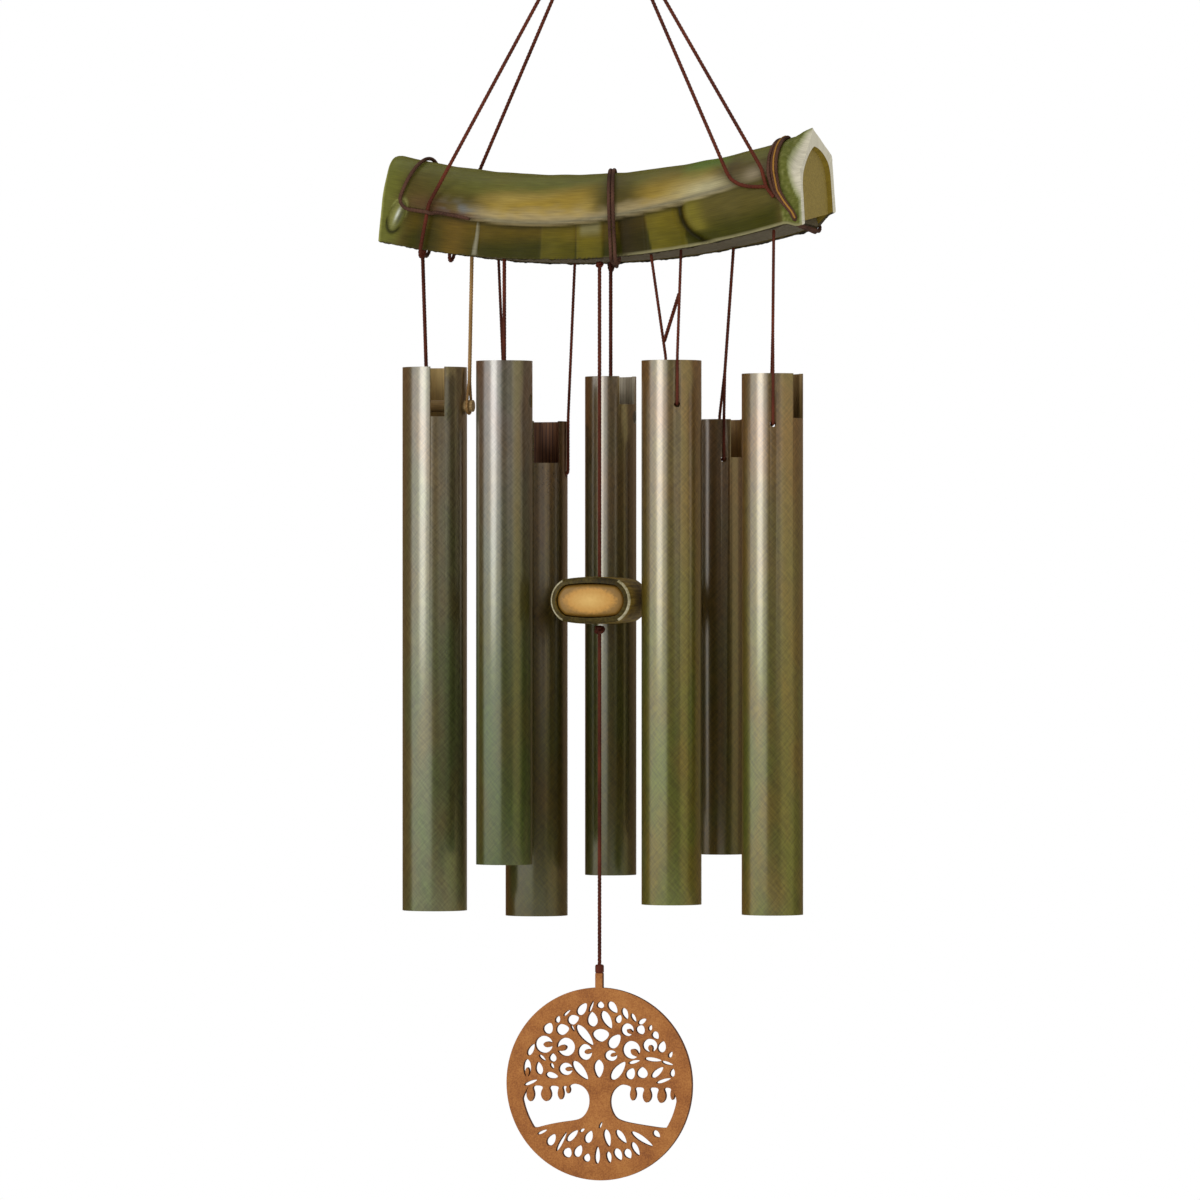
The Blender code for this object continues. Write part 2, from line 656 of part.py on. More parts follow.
def build_header(looks, pivot):
    """The bamboo header with a joint wall near each end."""
    rings = []
    for i in range(HEADER_STATIONS):
        along = HALF_ARC * (2 * i / (HEADER_STATIONS - 1) - 1)
        peak = end_peak(along)
        outer = arch(HALF_DEPTH, CROWN_RISE, peak)
        inner = arch(HALF_HOLLOW, HEADER_HEIGHT - HEADER_CROWN_WALL - HEADER_FOOT, peak)
        ring = outer + inner[::-1]
        rings.append([header_point(slanted(along, height), y, height) for y, height in ring])
    header = add_object("header", loft("header", rings), looks["bamboo"], pivot)
    walls = []
    bite = HEADER_SIDE_WALL / 3
    for side in (-1, 1):
        wall_rings = []
        for edge in (-0.5, 0.5):
            along = side * NODE_WALL_AT + edge * NODE_WALL
            profile = arch(HALF_HOLLOW + bite, HEADER_HEIGHT - HEADER_CROWN_WALL - HEADER_FOOT + bite, 0)
            profile = [(y, max(height, bite)) for y, height in profile]
            wall_rings.append([header_point(slanted(along, height), y, height) for y, height in profile])
        walls.append(loft("joint_wall", wall_rings))
    combine(header, join("joint_walls", walls), "UNION")


def build_bar(looks, pivot, holes):
    """The bar inside the header, drilled for every cord."""
    half = NODE_WALL_AT - NODE_WALL / 2 - BAR_END_GAP
    rings = []
    for i in range(HEADER_STATIONS):
        along = LEFT_FOOT_INSET - half + (2 * half - LEFT_FOOT_INSET) * i / (HEADER_STATIONS - 1)
        corners = ((-1, 0), (1, 0), (1, 1), (-1, 1))
        rings.append([header_point(along, y * BAR_HALF_WIDTH, h * BAR_THICKNESS) for y, h in corners])
    bar = add_object("cord_bar", loft("cord_bar", rings), looks["bamboo_inside"], pivot)
    combine(bar, join("bar_holes", [bar_hole(x, y) for x, y in holes]), "DIFFERENCE")


def build_tube(tube, looks):
    """A tube with its cord or dowel holes and the slot in its rim, turning about its hanging point."""
    outside, inside = tube.radius, tube.radius - TUBE_WALL
    profile = [(outside, -tube.length), (outside, 0), (inside, 0), (inside, -tube.length)]
    bm = bmesh.new()
    rows = []
    for radius, height in profile:
        spread = [2 * math.pi * i / TUBE_SIDES for i in range(TUBE_SIDES)]
        rows.append([bm.verts.new((radius * math.cos(a), radius * math.sin(a), height)) for a in spread])
    for low, high in zip(rows, rows[1:] + rows[:1]):
        for i in range(TUBE_SIDES):
            j = (i + 1) % TUBE_SIDES
            bm.faces.new((low[i], low[j], high[j], high[i]))
    bm.transform(Matrix.Translation((tube.x, tube.y, tube.top)))
    pivot = Vector((tube.x, tube.y, tube.hole_z))
    made = add_object(tube.name, mesh_from(bm, tube.name), looks["tube"], pivot)
    across = Vector((1, 0, 0)) if tube.hole_turn is None else tube.outward()
    bore = DOWEL / 2 + CLEARANCE if tube.hole_turn is None else CORD_RADIUS + HOLE_CLEARANCE
    reach = across * (tube.radius + CORD)
    cutters = [rod("tube_holes", pivot - reach, pivot + reach, bore, 12)]
    if tube.slot_turn is not None:
        turn = math.radians(tube.slot_turn)
        facing = Vector((math.sin(turn), -math.cos(turn), 0))
        beside = Vector((math.cos(turn), math.sin(turn), 0)) * tube.slot_width / 2
        lift = Vector((0, 0, tube.slot_depth + CORD))
        foot = Vector((tube.x, tube.y, tube.top - tube.slot_depth)) + facing * (inside - 3 * TUBE_WALL)
        deep = facing * 6 * TUBE_WALL
        base = [foot - beside, foot + beside, foot + beside + deep, foot - beside + deep]
        cutters.append(loft("rim_slot", [base, [corner + lift for corner in base]]))
    for cutter in cutters:
        combine(made, cutter, "DIFFERENCE")
    return pivot


def build_tubes(looks):
    """Every tube, with its cord and, where it has one, its dowel. Returns where the cords pass the bar."""
    holes = []
    for tube in TUBES:
        pivot = build_tube(tube, looks)
        name = f"{tube.name}_cord"
        swing = Vector((tube.cord_tops[0], tube.y, underside(tube.cord_tops[0]) - CORD_END_GAP))
        if tube.hole_turn is None:
            x_hang = tube.x + (tube.cord_tops[0] - tube.x) * 0.6
            cord(name, dowel_loop(tube.cord_tops[0], x_hang, tube.y, tube.hole_z), looks["cord"], swing)
            ends = tube.radius - DOWEL_RECESS
            far = tube.radius + DOWEL_REACH if tube is TUBE_1 else ends
            start, end = (pivot + Vector((x, 0, 0)) for x in (-ends, far))
            dowel = rod(f"{tube.name}_dowel", start, end, DOWEL / 2, 12)
            add_object(f"{tube.name}_dowel", dowel, looks["dowel"], pivot)
        else:
            cord(name, through_loop(tube), looks["cord"], swing)
        holes += [(x, tube.y) for x in tube.cord_tops]
        for i, x in enumerate(tube.cord_tops):
            knot = f"{tube.name}_knot" if i == 0 else f"{tube.name}_second_knot"
            stopper_knot(knot, x, tube.y, looks["cord"])
    return holes


def build_side_cords(looks):
    """The pale second cord of tube 1, round its dowel's outer end, and the tie between tube 5's strands."""
    swing = Vector((SIDE_CORD_TOP, TUBE_1.y, underside(SIDE_CORD_TOP) - CORD_END_GAP))
    x_dowel = TUBE_1.x + TUBE_1.radius + CORD_OFFSET + CLEARANCE
    loop = dowel_loop(SIDE_CORD_TOP, x_dowel, TUBE_1.y, TUBE_1.hole_z)
    cord("tube_1_side_cord", loop, looks["pale_cord"], swing)
    stopper_knot("tube_1_side_knot", SIDE_CORD_TOP, TUBE_1.y, looks["pale_cord"])
    strands = through_loop(TUBE_5)
    front = strands[0].lerp(strands[1], 0.40)
    back = strands[-1].lerp(strands[-2], 0.86)
    way = (back - front).normalized()
    stand_off = 2.6 * CORD_RADIUS + CORD_CLEARANCE
    ends = [front + way * stand_off, back - way * stand_off]
    first = TUBE_5.cord_tops[0]
    swing = Vector((first, TUBE_5.y, underside(first) - CORD_END_GAP))
    cord("tube_5_tie", ends, looks["cord"], swing)
    return [(SIDE_CORD_TOP, TUBE_1.y)]


def stadium(width, height, y, grow=0.0, steps=10):
    """A long round outline across the clapper, in the plane at y."""
    radius = height / 2 - grow
    straight = (width - height) / 2
    points = []
    for side in (1, -1):
        for i in range(steps + 1):
            angle = math.pi * (i / steps - 0.5)
            x = side * (straight + radius * math.cos(angle))
            points.append(Vector((CLAPPER_X + x, y, side * radius * math.sin(angle) + CLAPPER_MIDDLE)))
    return points


CLAPPER_MIDDLE = -CLAPPER_DROP - CLAPPER_HEIGHT / 2


def build_clapper(looks):
    """The clapper: a bamboo sleeve round a pale wooden core, threaded on the middle cord."""
    top = Vector((CLAPPER_X, CLAPPER_Y, underside(CLAPPER_X)))
    radius = UPPER_KNOT / 2
    knot_centre = top - Vector((0, 0, CORD_END_GAP + radius))
    ball = [(radius * math.sin(math.pi * i / 8), -radius * math.cos(math.pi * i / 8)) for i in range(1, 8)]
    profile = [(0, -radius), *ball, (0, radius)]
    knot = turned("clapper_upper_knot", profile, Matrix.Translation(knot_centre), 12)
    add_object("clapper_upper_knot", knot, looks["cord"], knot_centre)
    stopper_knot("clapper_top_knot", CLAPPER_X, CLAPPER_Y, looks["cord"])
    foot = CLAPPER_MIDDLE - CLAPPER_HEIGHT / 2
    start = knot_centre - Vector((0, 0, radius + CLEARANCE))
    end = Vector((CLAPPER_X, CLAPPER_Y, foot))
    cord("clapper_cord", [start, end], looks["cord"], knot_centre)
    middle = Vector((CLAPPER_X, CLAPPER_Y, CLAPPER_MIDDLE))
    front, back = CLAPPER_Y - CLAPPER_LENGTH / 2, CLAPPER_Y + CLAPPER_LENGTH / 2
    hollow_height = CLAPPER_HEIGHT - 2 * CLAPPER_WALL
    hollow_width = CLAPPER_WIDTH - 2 * CLAPPER_WALL
    edge = CLAPPER_WALL / 3
    rings = [stadium(CLAPPER_WIDTH - 2 * edge, CLAPPER_HEIGHT - 2 * edge, front),
             stadium(CLAPPER_WIDTH, CLAPPER_HEIGHT, front + edge),
             stadium(CLAPPER_WIDTH, CLAPPER_HEIGHT, back - edge),
             stadium(CLAPPER_WIDTH - 2 * edge, CLAPPER_HEIGHT - 2 * edge, back)]
    sleeve = add_object("clapper_sleeve", loft("clapper_sleeve", rings), looks["clapper"], middle)
    hollow = [stadium(hollow_width, hollow_height, y) for y in (front - CORD, back + CORD)]
    combine(sleeve, loft("clapper_hollow", hollow), "DIFFERENCE")
    fit = 2 * CLEARANCE
    plug = [stadium(hollow_width - fit, hollow_height - fit, y)
            for y in (front + CLAPPER_CORE_RECESS, back - CLAPPER_CORE_RECESS)]
    core = add_object("clapper_core", loft("clapper_core", plug), looks["core"], middle)
    reach = Vector((0, 0, CLAPPER_HEIGHT))
    for piece in (sleeve, core):
        bore = rod("clapper_bore", middle - reach, middle + reach, CORD_RADIUS + HOLE_CLEARANCE, 12)
        combine(piece, bore, "DIFFERENCE")
    widest = CLAPPER_KNOT / 2
    profile = [(0, -0.8 * CLAPPER_KNOT), (0.6 * widest, -0.8 * CLAPPER_KNOT), (widest, -0.5 * CLAPPER_KNOT),
               (widest, -0.25 * CLAPPER_KNOT), (0.6 * widest, 0), (0, 0)]
    seat = Vector((CLAPPER_X, CLAPPER_Y, foot - CLEARANCE))
    add_object("clapper_lower_knot", turned("clapper_lower_knot", profile, Matrix.Translation(seat)),
               looks["cord"], middle)
    return seat - Vector((0, 0, 0.8 * CLAPPER_KNOT + CORD_END_GAP))


def leaf(centre, direction, length, width, steps=3):
    """A pointed leaf-shaped opening in the sail, as points (x, z) from its centre."""
    points = []
    for side in (1, -1):
        for i in range(steps):
            share = side * (2 * i / steps - 1)
            across = side * width / 2 * (1 - share * share)
            points.append((centre[0] + direction[0] * share * length / 2 - direction[1] * across,
                           centre[1] + direction[1] * share * length / 2 + direction[0] * across))
    return points


def crown_leaves():
    """Leaf openings in bowed rows round the top of the trunk."""
    openings = []
    inner = SAIL_DIAMETER / 2 - SAIL_RIM
    for row in range(1, LEAF_ROWS + 1):
        radius = LEAF_ROW_STEP * (row + 0.9)
        count = int(math.radians(156) * radius / LEAF_SPACING)
        for i in range(count):
            angle = math.radians(12 + 156 * (i + 0.5) / count)
            direction = (math.cos(angle), math.sin(angle))
            centre = (radius * direction[0], radius * direction[1] - TRUNK_WIDTH / 4)
            if math.hypot(*centre) + LEAF_LENGTH / 2 < inner:
                openings.append(leaf(centre, direction, LEAF_LENGTH, LEAF_WIDTH))
    return openings


def root_gaps():
    """Openings between the roots, below the ground line."""
    openings = []
    for angle, reach, length, width in ((-22, 19, 17, 4), (-48, 11.5, 11, 4.4), (-72, 10, 10.5, 3.4)):
        for side in (1, -1):
            turn = math.radians(angle)
            direction = (side * math.cos(turn), math.sin(turn))
            scale = SAIL_DIAMETER / 95.5
            start = GROUND - GROUND_DEPTH / 2
            centre = (direction[0] * reach * scale, start + direction[1] * reach * scale)
            openings.append(leaf(centre, direction, length * scale, width * scale, 4))
    return openings


def side_window(side):
    """The large opening beside the trunk, between the ground line, the rim and the lowest boughs."""
    inner = SAIL_DIAMETER / 2 - SAIL_RIM
    floor = GROUND + GROUND_DEPTH / 2
    trunk = TRUNK_WIDTH / 2
    reach = 0.98 * inner
    low = math.asin(floor / reach)
    high = math.radians(-3)
    points = [(trunk + 0.2 * TRUNK_WIDTH, floor)]
    for i in range(5):
        angle = low + (high - low) * i / 4
        points.append((reach * math.cos(angle), reach * math.sin(angle)))
    points += [(0.74 * inner, -0.06 * inner), (0.52 * inner, -0.15 * inner), (0.33 * inner, -0.02 * inner),
               (trunk + 0.25 * TRUNK_WIDTH, -0.10 * inner), (trunk, -0.28 * inner)]
    return [(side * x, z) for x, z in points]


def build_sail(looks, cord_top):
    """The sail: a flat round plate pierced as a tree with leaves and roots, on its own cord."""
    radius = SAIL_DIAMETER / 2
    tab = SAIL_TAB_WIDTH / 2
    first = math.pi / 2 - math.asin(tab / radius)
    outline = [(tab, radius + SAIL_TAB_HEIGHT), (-tab, radius + SAIL_TAB_HEIGHT)]
    steps = 48
    for i in range(steps + 1):
        angle = math.pi - first + (2 * math.pi - math.pi + 2 * first) * i / steps
        outline.append((radius * math.cos(angle), radius * math.sin(angle)))
    bm = bmesh.new()
    edges = []
    for loop in [outline, side_window(1), side_window(-1), *crown_leaves(), *root_gaps()]:
        corners = [bm.verts.new((x, 0, z)) for x, z in loop]
        edges += [bm.edges.new((a, b)) for a, b in zip(corners, corners[1:] + corners[:1])]
    bmesh.ops.triangle_fill(bm, use_beauty=True, edges=edges)
    made = bmesh.ops.extrude_face_region(bm, geom=bm.faces[:])
    moved = [part for part in made["geom"] if isinstance(part, bmesh.types.BMVert)]
    bmesh.ops.translate(bm, verts=moved, vec=(0, SAIL_THICKNESS, 0))
    middle = Vector((CLAPPER_X, CLAPPER_Y - SAIL_THICKNESS / 2, SAIL_CENTRE))
    bm.transform(Matrix.Translation(middle))
    tab_top = SAIL_CENTRE + radius + SAIL_TAB_HEIGHT
    spin = Vector((CLAPPER_X, CLAPPER_Y, tab_top))
    add_object("sail", mesh_from(bm, "sail"), looks["sail"], spin)
    widest = FERRULE_DIAMETER / 2
    profile = [(0, 0), (0.8 * widest, 0), (widest, 0.3 * FERRULE_HEIGHT), (widest, 0.7 * FERRULE_HEIGHT),
               (0.7 * widest, FERRULE_HEIGHT), (0, FERRULE_HEIGHT)]
    seat = spin + Vector((0, 0, CLEARANCE))
    ferrule = turned("sail_ferrule", profile, Matrix.Translation(seat), 12)
    add_object("sail_ferrule", ferrule, looks["cord"], spin)
    cord("sail_cord", [cord_top, seat + Vector((0, 0, FERRULE_HEIGHT + CLEARANCE))], looks["cord"], cord_top)


def build():
    for item in list(bpy.data.objects):
        bpy.data.objects.remove(item)
    looks = {
        "steel": material("steel_wire", "9A9A96", 0.35, 1.0),
        "cord": material("red_brown_cord", "6B2E1E", 0.8),
        "pale_cord": material("tan_cord", "B08855", 0.8),
        "bamboo": material("bamboo_skin", "7C7A36", 0.45),
        "bamboo_inside": material("bamboo_wood", "8F7A2E", 0.7),
        "tube": material("bronzed_tube", "6B6A2E", 0.38, 1.0),
        "dowel": material("dowel_wood", "B79A62", 0.7),
        "clapper": material("clapper_bamboo", "4A3D12", 0.5),
        "core": material("clapper_wood", "D4AE66", 0.6),
        "sail": material("rust_plate", "A5652B", 0.75),
    }
    pivot = build_ring(looks)
    build_hangers(looks, pivot)
    build_header(looks, pivot)
    left_loop("left_lashing", looks["cord"])
    lean = math.tan(math.radians(CENTRE_LASHING_LEAN_DEGREES))
    lashing("centre_lashing", CENTRE_LASHING_AT, lean, CENTRE_LASHING_TURNS, looks["cord"])
    lashing("right_lashing", RIGHT_LASHING_AT, 0, RIGHT_LASHING_TURNS, looks["cord"])
    holes = build_tubes(looks) + build_side_cords(looks) + [(CLAPPER_X, CLAPPER_Y)]
    build_bar(looks, pivot, holes)
    build_sail(looks, build_clapper(looks))


build()
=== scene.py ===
import math

import bmesh
import bpy
from mathutils import Matrix, Vector, noise


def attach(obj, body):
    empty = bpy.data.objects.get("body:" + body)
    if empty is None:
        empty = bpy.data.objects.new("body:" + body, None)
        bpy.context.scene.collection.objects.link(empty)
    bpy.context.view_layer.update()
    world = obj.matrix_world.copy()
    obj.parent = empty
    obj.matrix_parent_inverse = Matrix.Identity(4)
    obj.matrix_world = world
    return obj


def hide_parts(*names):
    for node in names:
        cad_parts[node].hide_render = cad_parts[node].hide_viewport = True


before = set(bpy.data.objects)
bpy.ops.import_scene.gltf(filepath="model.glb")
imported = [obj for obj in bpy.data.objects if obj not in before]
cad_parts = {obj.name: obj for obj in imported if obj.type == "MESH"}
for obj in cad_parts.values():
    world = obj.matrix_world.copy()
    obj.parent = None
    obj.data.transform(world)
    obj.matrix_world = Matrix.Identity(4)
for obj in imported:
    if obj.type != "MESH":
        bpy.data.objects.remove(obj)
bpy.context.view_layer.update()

# Header: a length of green bamboo split lengthwise and bent by heat, so that both ends rise, hung with its
# right end a little higher. The crown is scraped to bare gold, the lower wall is carved back under a frayed
# pale lip, and the right end is sawn off.
HEADER_DROP = 0.2243
HEADER_LENGTH = 0.2255
HALF_DEPTH = 0.031
HEADER_FOOT = 0.017
CROWN_RISE = 0.0263
SIDE_WALL = 0.005
CROWN_WALL = 0.008
SAWN_SHOULDER, SAWN_PEAK = 0.0275, 0.0442
HOLLOW_SHOULDER, HOLLOW_PEAK = 0.0200, 0.0345
SAWN_LIFT, SAWN_TWIST = 0.0012, 0.0043
BEND_RADIUS = 0.434
HEADER_TILT = math.tan(math.radians(1.9))
HALF_ARC = BEND_RADIUS * math.asin(HEADER_LENGTH / 2 / BEND_RADIUS)
SKIN_COLUMNS = 120
SKIN_ROWS = 280
FOOT_COLUMNS = 6


def ink(code):
    """An sRGB hex colour as linear red, green and blue."""
    channels = [int(code[i:i + 2], 16) / 255 for i in (0, 2, 4)]
    return Vector([c / 12.92 if c <= 0.04045 else ((c + 0.055) / 1.055) ** 2.4 for c in channels])


def ease(value, low, high):
    """0 below low and 1 above high, with a soft step between."""
    share = min(max((value - low) / (high - low), 0.0), 1.0)
    return share * share * (3 - 2 * share)


def between(value, start, full, fade, end):
    """1 from full to fade, falling softly to 0 at start and end."""
    return ease(value, start, full) * (1 - ease(value, fade, end))


def hump(value, middle, width):
    """A soft bump: 1 at the middle, about a third one width away."""
    return math.exp(-((value - middle) / width) ** 2)


def fibre(along, across, height, coarse, fine, drift=0.0):
    """Noise drawn out along the bamboo: so many cells a metre along its fibres and across them."""
    return noise.noise(Vector((along * coarse + drift, across * fine, height * fine)))


def header_point(along, across, height):
    """A point at an arc length along the header's lower edge, at y across it and a height above it."""
    angle = along / BEND_RADIUS
    reach = BEND_RADIUS - height
    x = reach * math.sin(angle)
    return Vector((x, across, BEND_RADIUS - HEADER_DROP - reach * math.cos(angle) + HEADER_TILT * x))


def arch_point(share, half, rise, shoulder, peak, end):
    """A point (y, height) on an arch from the front foot, at share 0, to the back foot, at share 1. Towards
    the sawn end the round arch turns into straight walls with a pitched top."""
    foot_share = 0.17
    side = -1 if share < 0.5 else 1
    climb = share if share < 0.5 else 1 - share
    if climb <= foot_share:
        return side * half, HEADER_FOOT * climb / foot_share
    turn = (climb - foot_share) / (0.5 - foot_share)
    angle = turn * math.pi / 2
    round_y, round_h = half * math.cos(angle), HEADER_FOOT + rise * math.sin(angle)
    corner = 0.36
    if turn < corner:
        pitched_y, pitched_h = half, HEADER_FOOT + (shoulder - HEADER_FOOT) * turn / corner
    else:
        run = (turn - corner) / (1 - corner)
        pitched_y, pitched_h = half * (1 - run), shoulder + (peak - shoulder) * run
    return side * (round_y + (pitched_y - round_y) * end), round_h + (pitched_h - round_h) * end


def outer_arch(share, end):
    """A point (y, height) on the plain outer section."""
    return arch_point(share, HALF_DEPTH, CROWN_RISE, SAWN_SHOULDER, SAWN_PEAK, end)


def arch_out(share, step, end):
    """The direction (y, height) that faces out of that section, taken a step to either side."""
    ahead, behind = outer_arch(min(share + step, 1), end), outer_arch(max(share - step, 0), end)
    return Vector((behind[1] - ahead[1], ahead[0] - behind[0])).normalized()


def lip_height(along):
    """How high the carved lip runs on the front: lowest left of the middle, climbing to the right."""
    return 0.0170 + 0.0025 * ease(-along, 0.035, 0.088) + 0.0079 * ease(along, -0.030, 0.100)


def lobe(along, height):
    """How far inside the rounded swelling at the lower right a point is, in metres, below 0 outside it."""
    below = max(0.0, 1 - height / lip_height(along))
    return along - 0.0522 - 0.0135 * below ** 3


# Flat panels carved under the lip: start and end along the header, and how pale each is painted as painted
# light, or below zero how dark it is painted as painted shade; the same number sets how far the panel stands
# out
SLANTED_EDGE = 0.0318
PANELS = ((-0.0238, -0.0048, 0.40), (-0.0048, 0.0094, 0.60), (0.0165, SLANTED_EDGE, -0.80),
          (SLANTED_EDGE, 0.0512, 0.60))
SLIVER = (-0.0590, -0.0562)
SCAR_ALONG, SCAR_HEIGHT = -0.1034, 0.0142
SCAR_WIDTH, SCAR_TALL, SCAR_TILT = 0.0046, 0.0086, math.radians(-22)
SAWN_BEVEL = 0.0058
LEFT_FOOT_INSET = 0.005
# Stains above the lip: colour, strength, then the middle and width along the header and upwards
STAINS = (("B9B28C", 0.80, 0.066, 0.015, 0.18, 0.22), ("93866E", 0.75, 0.092, 0.006, 0.20, 0.20),
          ("554628", 0.70, 0.082, 0.006, 0.45, 0.35), ("63472C", 0.70, -0.087, 0.012, 0.12, 0.16))


def sawn_bevel(height):
    """How far the slanting saw cut reaches back along the front wall at the right end."""
    rise = min(max((height - 0.013) / 0.034, 0.0), 1.0)
    return 0.0008 + SAWN_BEVEL * math.sin(math.pi * rise) ** 0.8


def scar(along, height):
    """How far out of the branch scar a point is, 1 at its rim, and its place across and up the scar."""
    across, up = along - SCAR_ALONG, height - SCAR_HEIGHT
    turned_x = across * math.cos(SCAR_TILT) + up * math.sin(SCAR_TILT)
    turned_z = up * math.cos(SCAR_TILT) - across * math.sin(SCAR_TILT)
    beside, over = turned_x / SCAR_WIDTH, turned_z / SCAR_TALL
    return math.hypot(beside, over), beside, over


def skin_depth(along, across, height):
    """How far the skin stands in from the plain arch, in metres: uneven growth, the wall carved back under
    the lip, the branch scar, the saw's bevel and the rounded left edge."""
    lip = lip_height(along)
    front = across < 0
    depth = 0.00035 * fibre(along, across, height, 90, 90) - 0.00012 * fibre(along, across, height, 60, 700)
    under = 1 - ease(height, lip - 0.0012, lip + 0.0001)
    under *= between(along, -0.104, -0.088, 0.098, 0.104)
    swell = lobe(along, height)
    carve = 0.0021
    carve += 0.0012 * (1 - ease(abs(swell + 0.0022), 0.0005, 0.0026))
    carve -= 0.0023 * ease(swell, -0.0004, 0.0034)
    for start, end, shade in PANELS:
        carve -= 0.0005 * shade * between(along, start, start + 0.0006, end - 0.0006, end)
    carve -= 0.0007 * between(along, SLIVER[0], SLIVER[0] + 0.0005, SLIVER[1] - 0.0005, SLIVER[1])
    depth += under * carve
    depth -= 0.0007 * hump(height, lip + 0.0006, 0.0008) * ease(along, -0.09, -0.07)
    ring, _, _ = scar(along, height)
    if front and ring < 1.4:
        depth += 0.0011 * (1 - ease(ring, 0.72, 0.98)) - 0.0007 * hump(ring, 1.08, 0.13)
    bevel = along - HALF_ARC + sawn_bevel(height)
    if front and bevel > 0:
        depth += 0.35 * bevel
    rough = between(along, 0.1020, 0.1045, HALF_ARC - 0.0012, HALF_ARC) * (bevel <= 0)
    depth -= rough * (0.0003 + 0.0005 * fibre(along, across, height, 600, 420))
    edge = max(0.0, min(1.0, (-HALF_ARC + 0.0055 - along) / 0.0055))
    return depth + 0.0034 * (1 - math.sqrt(max(0.0, 1 - edge * edge)))


def crown_tint(along, height, lip, patch, fine):
    """The skin above the lip, green, scraped to gold and silver in long patches, and its roughness."""
    climb = (height - lip) / (0.045 - lip)
    colour = ink("554A20").lerp(ink("62622A"), ease(climb + 0.35 * patch, 0.35, 0.95))
    leafy = between(along, 0.045, 0.062, 0.072, 0.086) * ease(climb + 0.3 * patch, 0.45, 0.8)
    colour = colour.lerp(ink("54702A"), 0.8 * leafy)
    colour = colour.lerp(ink("6B6E2C"), 0.75 * (1 - ease(along + 0.006 * patch, -0.110, -0.098)))
    left_patch = between(along, -0.066, -0.044, -0.004, 0.012)
    right_patch = between(along, 0.020, 0.038, 0.062, 0.080)
    gold = max(left_patch, 0.85 * right_patch) * (1 - ease(climb + 0.26 * patch + 0.06 * fine, 0.36, 0.86))
    colour = colour.lerp(ink("9C8236"), 0.95 * gold)
    colour = colour.lerp(ink("B09A58"), 0.6 * gold * ease(patch, -0.1, 0.4))
    dusk = hump(along, 0.016, 0.009) * (1 - ease(climb, 0.7, 1.0))
    colour = colour.lerp(ink("4F4620"), 0.75 * dusk)
    silver = 1 - ease(climb + 0.10 * fine + 0.12 * patch, 0.06, 0.34)
    silver *= between(along, -0.080, -0.056, 0.070, 0.084)
    colour = colour.lerp(ink("AE9C72"), 0.75 * silver)
    blue = hump(along, -0.070, 0.011) * hump(climb, 0.10, 0.16)
    colour = colour.lerp(ink("6E7478"), 0.8 * blue * ease(fine, -0.35, 0.3))
    for code, share, place, length, level, tall in STAINS:
        colour = colour.lerp(ink(code), share * hump(along, place, length) * hump(climb, level, tall))
    ridge = hump(height, lip + 0.0009, 0.0012) * between(along, -0.089, -0.079, 0.074, 0.088)
    pale_edge = ink("7C765E").lerp(ink("5E4230"), 1 - ease(along, -0.066, -0.050))
    colour = colour.lerp(pale_edge, 0.85 * ridge)
    colour = colour.lerp(ink("4A4434"), 0.25 * ridge * ease(fine, 0.0, 0.35))
    return colour, 0.40 + 0.12 * gold + 0.14 * silver + 0.25 * ridge


def carved_tint(along, height, lip, patch):
    """The wall carved back under the lip: dark olive, with flat panels painted pale and dark as painted light
    and shade, a pale sliver, and a swelling with a painted highlight; the groove round the swelling and the
    strip just under the lip are painted dark as painted shadow.
    """
    drop = 1 - height / lip
    band = ink("5A4A12").lerp(ink("38360A"), ease(drop + 0.2 * patch, 0.25, 0.75))
    band = band.lerp(ink("6A521A"), 0.8 * hump(along, -0.070, 0.009))
    band = band.lerp(ink("40380F"), 0.7 * hump(along, -0.084, 0.006))
    # Panels are painted pale as painted light where their number is above zero, and dark as painted shade
    # below it; glow puts a painted highlight about a third of the way across each panel.
    for start, end, shade in PANELS:
        lean = 0.0026 * drop if SLANTED_EDGE in (start, end) else 0.0
        inside = between(along, start + lean, start + lean + 0.0008, end + lean - 0.0008, end + lean)
        glow = 1 - abs((along - start) / (end - start) - 0.35)
        target = ink("766A1C") if shade > 0 else ink("2F250D")
        band = band.lerp(target, inside * min(1, abs(shade) * (0.5 + 0.6 * glow)))
    chalky = between(along, -0.004, -0.001, 0.006, 0.010) * (1 - ease(drop, 0.2, 0.5))
    band = band.lerp(ink("8B8560"), 0.6 * chalky)
    half_sliver = (SLIVER[1] - SLIVER[0]) / 2 * (0.35 + 0.65 * drop)
    aside = abs(along - (SLIVER[0] + SLIVER[1]) / 2)
    thin = 1 - ease(aside, half_sliver - 0.0004, half_sliver + 0.0002)
    band = band.lerp(ink("8F8A72"), 0.85 * thin * ease(drop, 0.02, 0.10))
    swell = lobe(along, height)
    round_top = ease(swell, -0.0004, 0.0022)
    full = ink("5C5224").lerp(ink("3E3C0B"), ease(drop + 0.2 * patch, 0.35, 0.75))
    # Painted highlight: a pale band on the upper part of the swelling.
    full = full.lerp(ink("7C7226"), 0.8 * hump(swell, 0.0055, 0.0050) * (1 - ease(drop, 0.6, 0.8)))
    band = band.lerp(full, round_top)
    # Painted shadow: the groove round the swelling is painted near black.
    groove_shadow = 1 - ease(abs(swell + 0.0012), 0.0006, 0.0024)
    band = band.lerp(ink("1E1A05"), 0.9 * groove_shadow)
    # Painted shadow just under the lip, weaker on the swelling.
    painted_lip_shadow = hump(height, lip - 0.0014, 0.0012) * (1 - 0.6 * round_top)
    return band.lerp(ink("2C270C"), 0.65 * painted_lip_shadow)


